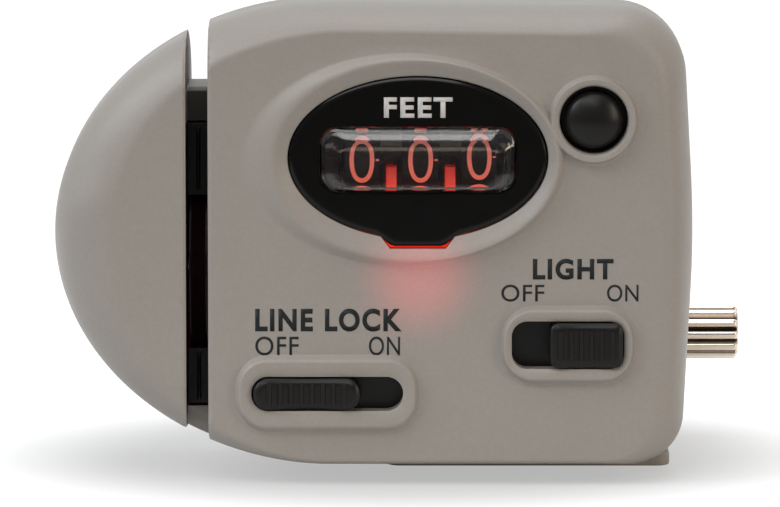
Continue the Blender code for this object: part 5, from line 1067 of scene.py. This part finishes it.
def guide_shape():
    """The bar with its two prongs, all edges softened."""
    steps = []
    for x in DRUM_GAPS:
        steps.append(("UNION", block((x - PRONG_HALF, GUIDE_FRONT, 29.0), (x + PRONG_HALF, 4.5, PRONG_TOP))))
    shape = carve(block((18.3, GUIDE_FRONT, 26.0), (31.1, 4.7, 30.0)), *steps)
    bmesh.ops.dissolve_limit(shape, angle_limit=radians(1), verts=shape.verts, edges=shape.edges)
    edges = [e for e in shape.edges if len(e.link_faces) == 2 and e.calc_face_angle() > 0.5]
    bmesh.ops.bevel(shape, geom=edges, offset=0.15, segments=3, profile=0.5, affect="EDGES")
    return shape


guide = piece("red_light_bar", guide_shape(), RED_GLOW)
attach(guide, "housing")
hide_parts("light_guide")


# Reset button. A satin black cap with a shallow dome, turned down to a flange that stops it under the face
# and a plunger that reaches back through its steel spring.

SATIN = (0.0072, 0.0064, 0.0059)
SATIN_BLACK = moulded("satin_black", SATIN, 0.34, 3200.0, 0.000008, worn=0.9, Specular_IOR_Level=0.27)
CROWN_R, CROWN_RISE = 4.9, 1.6
DOME = (0, 0.4, 0.8, 1.2, 1.6, 2.0, 2.35, 2.65, 2.85)
CAP = [(reach, CROWN_R - CROWN_RISE - sqrt(CROWN_R**2 - reach**2)) for reach in DOME]
CAP += [(3.0, -0.5), (3.12, -0.32), (3.18, -0.15), (3.2, 0.05), (3.2, 2.1), (4.5, 2.1), (4.6, 2.2)]
CAP += [(4.6, 2.9), (4.5, 3.0), (1.4, 3.0), (1.4, 10.0), (1.2, 10.2), (0, 10.2)]

button = piece("button_cap", turned("y", (BUTTON[0], 0, BUTTON[1]), CAP, 96), SATIN_BLACK, sharp=50)
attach(button, "button")
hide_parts("reset_button")

coils = linked("button_spring", bpy.data.objects["reset_spring"].data.copy())
coils.data.materials.clear()
coils.data.materials.append(STEEL)
SPRING_FRONT, SPRING_BACK = 3.2, 8.6
SPRING_ENDS = [tuple(TO_ROW @ Vector((BUTTON[0], y, BUTTON[1]))) for y in (SPRING_FRONT, SPRING_BACK)]
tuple(SPRING_ENDS[0])
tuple(SPRING_ENDS[1])
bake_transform(coils)
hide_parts("reset_spring")


# Slide knobs. Two small black mouldings, each with a hollow across its face for a fingertip and fine upright
# ribs in the hollow. Each stands on a flat plate that closes its opening and slides behind the face.

KNOB_FRONT = -1.5
KNOB_EDGE = ((0, 2.6), (0, 0.5), (0.04, 0.38), (0.12, 0.29), (0.42, 0.12), (0.54, 0.05), (0.72, 0))
KNOB_EDGE += ((1.0, 0), (1.5, 0))
PLATE_FRONT, PLATE_BACK = 2.1, 2.9


def rib_tree():
    """Upright round ribs side by side, set back along a hollow that is deepest in the middle."""
    made, given, add, maths = tree(
        "upright_ribs",
        (
            ("Count", "Int", 9),
            ("Pitch", "Float", 1.0),
            ("Thickness", "Float", 0.45),
            ("Length", "Float", 3.0),
            ("Hollow", "Float", 0.4),
            ("Half Width", "Float", 5.0),
        ),
    )
    span = maths("MULTIPLY", maths("SUBTRACT", given["Count"], 1.0), given["Pitch"])
    start = add("ShaderNodeCombineXYZ", {"X": maths("MULTIPLY", span, -0.5)}).outputs[0]
    step = add("ShaderNodeCombineXYZ", {"X": given["Pitch"]}).outputs[0]
    line = add("GeometryNodeMeshLine", {"Count": given["Count"], "Start Location": start, "Offset": step})
    place = add("GeometryNodeInputPosition").outputs[0]
    across = add("ShaderNodeSeparateXYZ", {"Vector": place}).outputs["X"]
    share = maths("DIVIDE", across, given["Half Width"])
    depth = maths("MULTIPLY", maths("SUBTRACT", 1.0, maths("MULTIPLY", share, share)), given["Hollow"])
    back = add("ShaderNodeCombineXYZ", {"Y": depth}).outputs[0]
    bowed = add("GeometryNodeSetPosition", {"Geometry": line.outputs[0], "Offset": back}).outputs[0]
    radius = maths("MULTIPLY", given["Thickness"], 0.5)
    rod = add("GeometryNodeMeshCylinder", {"Vertices": 16, "Radius": radius, "Depth": given["Length"]})
    row = add("GeometryNodeInstanceOnPoints", {"Points": bowed, "Instance": rod.outputs["Mesh"]})
    solid = add("GeometryNodeRealizeInstances", {"Geometry": row.outputs[0]})
    close_tree(add, given["Points"], solid, SATIN_BLACK)
    return made


RIBS = rib_tree()


def knob_shape(centre, width, height, corner, hollow, ribs, plate):
    """A slide knob: its hollowed body, its ribs and the plate it stands on."""
    x0, z0 = centre
    reach = width / 2 - 0.5
    rows = []
    for shrink, back in KNOB_EDGE:
        row = []
        for x, z in long_ring(centre, width - 2 * shrink, height - 2 * shrink, corner):
            dip = hollow * max(0.0, 1 - ((x - x0) / reach) ** 2) if back < 2 else 0
            row.append((x, KNOB_FRONT + back + dip, z))
        rows.append(row)
    rows.append([(x, y, z0) for x, y, z in rows[-1]])
    body = bmesh.new()
    body.faces.new(strip_faces(body, rows)[0])
    bmesh.ops.remove_doubles(body, verts=body.verts, dist=0.001)
    bmesh.ops.recalc_face_normals(body, faces=body.faces)
    bars = grown(RIBS, [(x0, KNOB_FRONT + 0.06, z0)], hollow=hollow, half_width=reach, **ribs)
    low, high, tall = plate
    line = long_ring(((low + high) / 2, z0), high - low, tall, 0.12)
    return carve(body, ("UNION", bars), ("UNION", closed([at(line, y) for y in (PLATE_FRONT, PLATE_BACK)])))


LOCK_RIBS = {"count": 8, "pitch": 1.2, "thickness": 0.62, "length": 2.4}
LIGHT_RIBS = {"count": 6, "pitch": 1.15, "thickness": 0.58, "length": 3.3}
LOCK_KNOB = ((12.285, 10.5), 12.0, 3.6, 0.48, 0.7, LOCK_RIBS, (3.15, 22.95, 5.5))
LIGHT_KNOB = ((43.55, 16.0), 8.2, 5.1, 0.2, 0.4, LIGHT_RIBS, (34.45, 50.75, 7.0))
for name, node, body, values in (
    ("lock_slider", "lock_knob", "lock", LOCK_KNOB),
    ("light_slider", "light_knob", "light", LIGHT_KNOB),
):
    knob = piece(name, knob_shape(*values), SATIN_BLACK, sharp=32)
    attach(knob, body)
    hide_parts(node)


# Thumb screw. A fluted knob turned from brass and plated with nickel, with a small chamfer at each end.
# Its threaded shank runs through the clamp and carries the jaw.

POLISHED = (0.86, 0.73, 0.60)
NICKEL = moulded("nickel_plate", POLISHED, 0.2, grain=1200.0, depth=0.000004, worn=0.15, Metallic=1.0)
SCREW_AXIS = (36.8, 12.2)
HEAD_R, HEAD_START, HEAD_END = 3.1, 54.4, 62.2
SHANK_START, SHANK_END, SHANK_R = 39.9, 54.6, 1.8
THREAD_START, THREAD_END, THREAD_PITCH, THREAD_DEPTH = 40.3, 50.0, 1.0, 0.24
# Radii and share of the painted shade in the knob's flute bottoms.
PAINTED_SHADE_R, UNSHADED_R, PAINTED_SHADE_SHARE = 2.35, 3.0, 0.1


def dulled(made):
    """Paints shade into the bottoms of the knob's flutes: the metal is darkened there to a tenth, its ends
    kept bright.
    """
    add, maths = workers(made.node_tree)

    def vector(kind, first, second):
        return add("ShaderNodeVectorMath", {0: first, 1: second}, operation=kind).outputs[0]

    def length(value, axes):
        spread = vector("MULTIPLY", value, axes)
        return add("ShaderNodeVectorMath", {0: spread}, operation="LENGTH").outputs["Value"]

    def ranged(value, start, end, left):
        limits = {"Value": value, "From Min": start * MM, "From Max": end * MM, "To Min": left}
        return add("ShaderNodeMapRange", limits).outputs[0]

    middle = TO_ROW @ Vector(((HEAD_START + HEAD_END) / 2, *SCREW_AXIS))
    moved = vector("SUBTRACT", add("ShaderNodeTexCoord").outputs["Object"], middle)
    half = (HEAD_END - HEAD_START) / 2
    flank = ranged(length(moved, (0, 1, 1)), PAINTED_SHADE_R, UNSHADED_R, PAINTED_SHADE_SHARE)
    end = ranged(length(moved, (1, 0, 0)), half - 0.1, half - 0.02, 0.0)
    colour = made.node_tree.nodes["Principled BSDF"].inputs["Base Color"]
    skin = colour.links[0].from_socket
    painted_shade_factor = maths("MAXIMUM", flank, end)
    tint = add("ShaderNodeVectorMath", {0: skin, "Scale": painted_shade_factor}, operation="SCALE")
    made.node_tree.links.new(tint.outputs[0], colour)


# The flute bottoms take painted shade: the nickel is darkened there to a tenth.
dulled(NICKEL)


def flute_tree():
    """A fluted knob along x, its flutes cut by a rule round its axis and its ends chamfered."""
    made, given, add, maths = tree(
        "fluted_knob",
        (
            ("Radius", "Float", 3.1),
            ("Length", "Float", 7.8),
            ("Flutes", "Int", 12),
            ("Groove", "Float", 0.8),
            ("Chamfer", "Float", 0.45),
        ),
    )
    sizes = {"Vertices": 192, "Side Segments": 40, "Radius": given["Radius"], "Depth": given["Length"]}
    rod = add("GeometryNodeMeshCylinder", sizes)
    place = add("GeometryNodeInputPosition").outputs[0]
    parts = add("ShaderNodeSeparateXYZ", {"Vector": place}).outputs
    wave = maths("COSINE", maths("MULTIPLY", maths("ARCTAN2", parts["Y"], parts["X"]), given["Flutes"]))
    sharp = maths("POWER", maths("MULTIPLY_ADD", wave, -0.5, 0.5), 3.0)
    cut = maths("MULTIPLY", sharp, given["Groove"])
    near = maths("SUBTRACT", maths("MULTIPLY", given["Length"], 0.5), maths("ABSOLUTE", parts["Z"]))
    short = maths("MAXIMUM", maths("SUBTRACT", given["Chamfer"], near), 0.0)
    bevel = maths("DIVIDE", maths("POWER", short, 2.0), given["Chamfer"])
    kept = maths("SUBTRACT", 1.0, maths("DIVIDE", maths("ADD", cut, bevel), given["Radius"]))
    wide, tall = maths("MULTIPLY", parts["X"], kept), maths("MULTIPLY", parts["Y"], kept)
    moved = add("ShaderNodeCombineXYZ", {"X": wide, "Y": tall, "Z": parts["Z"]}).outputs[0]
    shaped = add("GeometryNodeSetPosition", {"Geometry": rod.outputs["Mesh"], "Position": moved})
    laid = add("GeometryNodeTransform", {"Geometry": shaped.outputs[0], "Rotation": (0, pi / 2, 0)})
    close_tree(add, given["Points"], laid, NICKEL)
    return made


def shank_shape():
    """The shank behind the knob, a millimetre thread along it and a plain neck at the knob."""
    rows = []
    for k in range(121):
        x = SHANK_START + (SHANK_END - SHANK_START) * k / 120
        row = []
        for s in range(32):
            angle = 2 * pi * s / 32
            turn = (x / THREAD_PITCH - angle / (2 * pi)) % 1.0
            depth = 0.0 if x > THREAD_START else 0.3
            if THREAD_START < x < THREAD_END:
                depth = THREAD_DEPTH * abs(2 * turn - 1)
            radius = SHANK_R - depth
            row.append((x, SCREW_AXIS[0] + radius * cos(angle), SCREW_AXIS[1] + radius * sin(angle)))
        rows.append(row)
    return closed(rows)


HEAD_MIDDLE = ((HEAD_START + HEAD_END) / 2, *SCREW_AXIS)
head = grown(flute_tree(), [HEAD_MIDDLE], radius=HEAD_R, length=HEAD_END - HEAD_START)
thumb = piece("thumb_screw", carve(head, ("UNION", shank_shape())), NICKEL, sharp=35)
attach(thumb, "screw")
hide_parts("clamp_screw")


# Line slot. A black moulded channel lines the slot, open in front of the wheel, with a thin rib on its floor
# above and below the wheel for the line to run on.

LINER_TINT = (0.008, 0.0072, 0.0068)
LINER_BLACK = moulded("liner_black", LINER_TINT, 0.4, 1500.0, 0.000008, worn=0.7, Specular_IOR_Level=0.25)


def eased(node, name, width, finish, body):
    """A node's own solid with its edges softened, as a moulding has them."""
    shape = bmesh.new()
    shape.from_mesh(bpy.data.objects[node].data)
    bmesh.ops.remove_doubles(shape, verts=shape.verts, dist=0.000002)
    bmesh.ops.dissolve_limit(shape, angle_limit=radians(0.6), verts=shape.verts, edges=shape.edges)
    mesh = meshed(name, shape)
    mesh.materials.append(finish)
    mesh.shade_smooth()
    mesh.set_sharp_from_angle(angle=radians(32))
    made = linked(name, mesh)
    soften = made.modifiers.new("soften", "BEVEL")
    soften.width = width * MM
    soften.segments = 2
    soften.limit_method = "ANGLE"
    soften.angle_limit = radians(35)
    soften.use_clamp_overlap = True
    soften.harden_normals = True
    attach(made, body)
    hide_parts(node)


eased("line_channel", "slot_liner", 0.1, LINER_BLACK, "housing")
RIB_SPANS = ((8.5, 13.9), (32.4, 39.6))
RIB_HALF, RIB_TALL, RIB_FOOT, RIB_BACK = 0.24, 0.42, 8.62, 8.7


def rib_shape():
    """The two floor ribs, rounded across and run out at their ends."""
    shape = bmesh.new()
    for low, high in RIB_SPANS:
        rows = []
        for k in range(13):
            z = low + (high - low) * k / 12
            tall = RIB_TALL * sqrt(max(0.0, 1 - abs(2 * k / 12 - 1) ** 6)) + 0.02
            row = [(RIB_HALF * cos(pi * s / 10), RIB_FOOT - tall * sin(pi * s / 10), z) for s in range(11)]
            rows.append(row + [(-RIB_HALF, RIB_BACK, z), (RIB_HALF, RIB_BACK, z)])
        made = strip_faces(shape, rows)
        shape.faces.new(made[0])
        shape.faces.new(made[-1])
    return shape


ribs = piece("slot_ribs", rib_shape(), LINER_BLACK)
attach(ribs, "housing")


# Rod clamp. A base and a sliding jaw moulded in the housing's plastic, with a ribbed rubber pad in each vee.
# The base is screwed to the back of the rear shell.

eased("clamp_base", "clamp_body", 0.35, HOUSING_SKIN, "housing")
eased("clamp_jaw", "clamp_slider", 0.3, HOUSING_SKIN, "jaw")
RUBBER = moulded("black_rubber", (0.022, 0.021, 0.021), 0.78, grain=900.0, depth=0.00003, worn=0.3, cloud=0.2)
eased("fixed_jaw_pad", "fixed_pad", 0.12, RUBBER, "housing")
eased("sliding_jaw_pad", "sliding_pad", 0.12, RUBBER, "jaw")


# Works inside. Shafts, studs, springs and plates are steel, gears and pinions white acetal, bushes and
# contacts brass, and the frame and carriage black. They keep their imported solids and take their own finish.

DRUM_SETTINGS = {"grain": 1400.0, "worn": 0.2, "cloud": 0.6, "Specular_IOR_Level": 0.2}
FINISHES = {
    "steel": STEEL,
    "brass": moulded("brass", (0.70, 0.50, 0.24), 0.3, grain=900.0, depth=0.000004, worn=0.15, Metallic=1.0),
    "acetal_white": moulded("white_acetal", (0.76, 0.75, 0.71), 0.38, grain=800.0, depth=0.000004, worn=0.05),
    "drum_black": moulded("drum_plastic", (0.012, 0.004, 0.004), 0.42, **DRUM_SETTINGS),
    "black_plastic": LINER_BLACK,
    "circuit_board": moulded("board_green", (0.03, 0.12, 0.05), 0.35, 500.0, 0.000005, 0.1, 0.3),
    "red_light_guide": RED_GLOW,
    "black_rubber": RUBBER,
}
CELL_TINT = (0.62, 0.62, 0.61)
CELL_STEEL = moulded("cell_steel", CELL_TINT, 0.22, grain=2500.0, depth=0.000003, worn=0.08, Metallic=1.0)
for entry in frame["record"]["subparts"]:
    node = bpy.data.objects[entry["node"]]
    finish = CELL_STEEL if entry["node"] == "coin_cell" else FINISHES.get(entry["material_slot"])
    if finish and not node.hide_render:
        for place in node.material_slots:
            place.material = finish


# Floor, light and camera. A plain white sweep under soft light from above and from the left,
# seen from straight ahead and seven and a half degrees above, as the counter stands.

VIEW_WIDTH = 87.1
VIEW_CENTRE = (21.59, 26.28)
SENSOR = 36.0
DISTANCE = 800.0
TILT = radians(7.5)
WHITE, COOL, WARM = (1, 1, 1), (0.93, 0.97, 1), (1, 0.84, 0.66)
LAMPS = (
    ("key", (-0.15, -0.62, 0.75), (0.7, 0.24), 2.1, WHITE),
    ("left", (-0.7, -0.25, 0.6), (0.5, 0.5), 4.5, COOL),
    ("top", (0.05, 0.0, 0.9), (0.8, 0.6), 2.8, COOL),
    ("right", (0.7, -0.45, 0.25), (0.14, 0.5), 1.6, WARM),
    ("low", (0.15, -0.7, 0.06), (0.8, 0.1), 0.6, WARM),
)
LAMP_AIM = Vector((0, 0, 0.03))
HELD_BACK = 0.21


def seen_share(made, source, near, far):
    """1 where the camera looks, and where gloss and clear plastic mirror what lies behind the counter."""
    add, maths = workers(made)
    ray = add("ShaderNodeLightPath").outputs
    place = add("ShaderNodeTexCoord").outputs[source]
    back = add("ShaderNodeSeparateXYZ", {0: place}).outputs["Y"]
    behind = add("ShaderNodeMapRange", {"Value": back, "From Min": near, "From Max": far}).outputs[0]
    mirrored = maths("MAXIMUM", ray["Is Glossy Ray"], ray["Is Transmission Ray"])
    return maths("MAXIMUM", ray["Is Camera Ray"], maths("MULTIPLY", mirrored, behind))


def white_floor():
    """A floor that looks white far off and gives little light back; near the counter, lamp shadow and painted
    shadow.
    """
    made, shader, add = material("white_floor")
    maths = workers(made.node_tree)[1]
    place = add("ShaderNodeTexCoord").outputs["Object"]
    stretch = add("ShaderNodeVectorMath", {0: place, 1: (1, 1.25, 1)}, operation="MULTIPLY")
    reach = add("ShaderNodeVectorMath", {0: stretch.outputs[0]}, operation="LENGTH").outputs["Value"]

    def fade(start, end, first, last):
        limits = {"Value": reach, "From Min": start, "From Max": end, "To Min": first, "To Max": last}
        return add("ShaderNodeMapRange", limits, interpolation_type="SMOOTHSTEP").outputs[0]

    # Near the counter the glow that the camera sees is held down to 0.45 of full: a painted soft shadow round
    # it.
    spread, tone = fade(0.028, 0.064, 0.45, 1.0), fade(0.137, 0.3, 0.8, 0.06)
    to_camera = add("ShaderNodeLightPath").outputs["Is Camera Ray"]
    pale = maths("MULTIPLY", tone, maths("MULTIPLY_ADD", to_camera, -0.68, 1.0))
    glow = maths("MULTIPLY", seen_share(made.node_tree, "Object", -0.02, 0.06), spread)
    light = {"Emission Color": (1, 1, 1, 1), "Emission Strength": glow}
    feed(made.node_tree, shader, {"Base Color": pale, "Roughness": 0.9, **light})
    return made


def surroundings():
    """A white world that the camera sees, and that lights the counter at a fifth of that."""
    world = bpy.data.worlds.new("surroundings")
    world.use_nodes = True
    add, _ = workers(world.node_tree)
    seen = seen_share(world.node_tree, "Generated", -0.6, 0.1)
    strength = add("ShaderNodeMapRange", {"Value": seen, "To Min": HELD_BACK, "To Max": 1.0}).outputs[0]
    feed(world.node_tree, world.node_tree.nodes["Background"], {"Color": (1, 1, 1, 1), "Strength": strength})
    return world


bpy.ops.mesh.primitive_plane_add(size=6)
floor = bpy.context.object
floor.name = "floor"
floor.data.materials.append(white_floor())
scene = bpy.context.scene
scene.world = surroundings()
scene.view_settings.view_transform = "Standard"
for name, place, size, power, colour in LAMPS:
    lamp = bpy.data.lights.new(name, "AREA")
    lamp.shape = "RECTANGLE"
    lamp.size, lamp.size_y = size
    lamp.energy = power
    lamp.color = colour
    holder = linked(name, lamp)
    holder.location = place
    holder.visible_glossy = name != "low"
    holder.rotation_euler = (Vector(place) - LAMP_AIM).to_track_quat("Z", "Y").to_euler()
camera = linked("camera", bpy.data.cameras.new("camera"))
camera.data.sensor_width = SENSOR
camera.data.lens = SENSOR * DISTANCE / VIEW_WIDTH
camera.data.clip_start = 0.01
CENTRE = TO_ROW @ Vector((VIEW_CENTRE[0], 0, VIEW_CENTRE[1]))
camera.location = CENTRE + Vector((0, -cos(TILT), sin(TILT))) * DISTANCE * MM
camera.rotation_euler = (pi / 2 - TILT, 0, 0)
scene.camera = camera
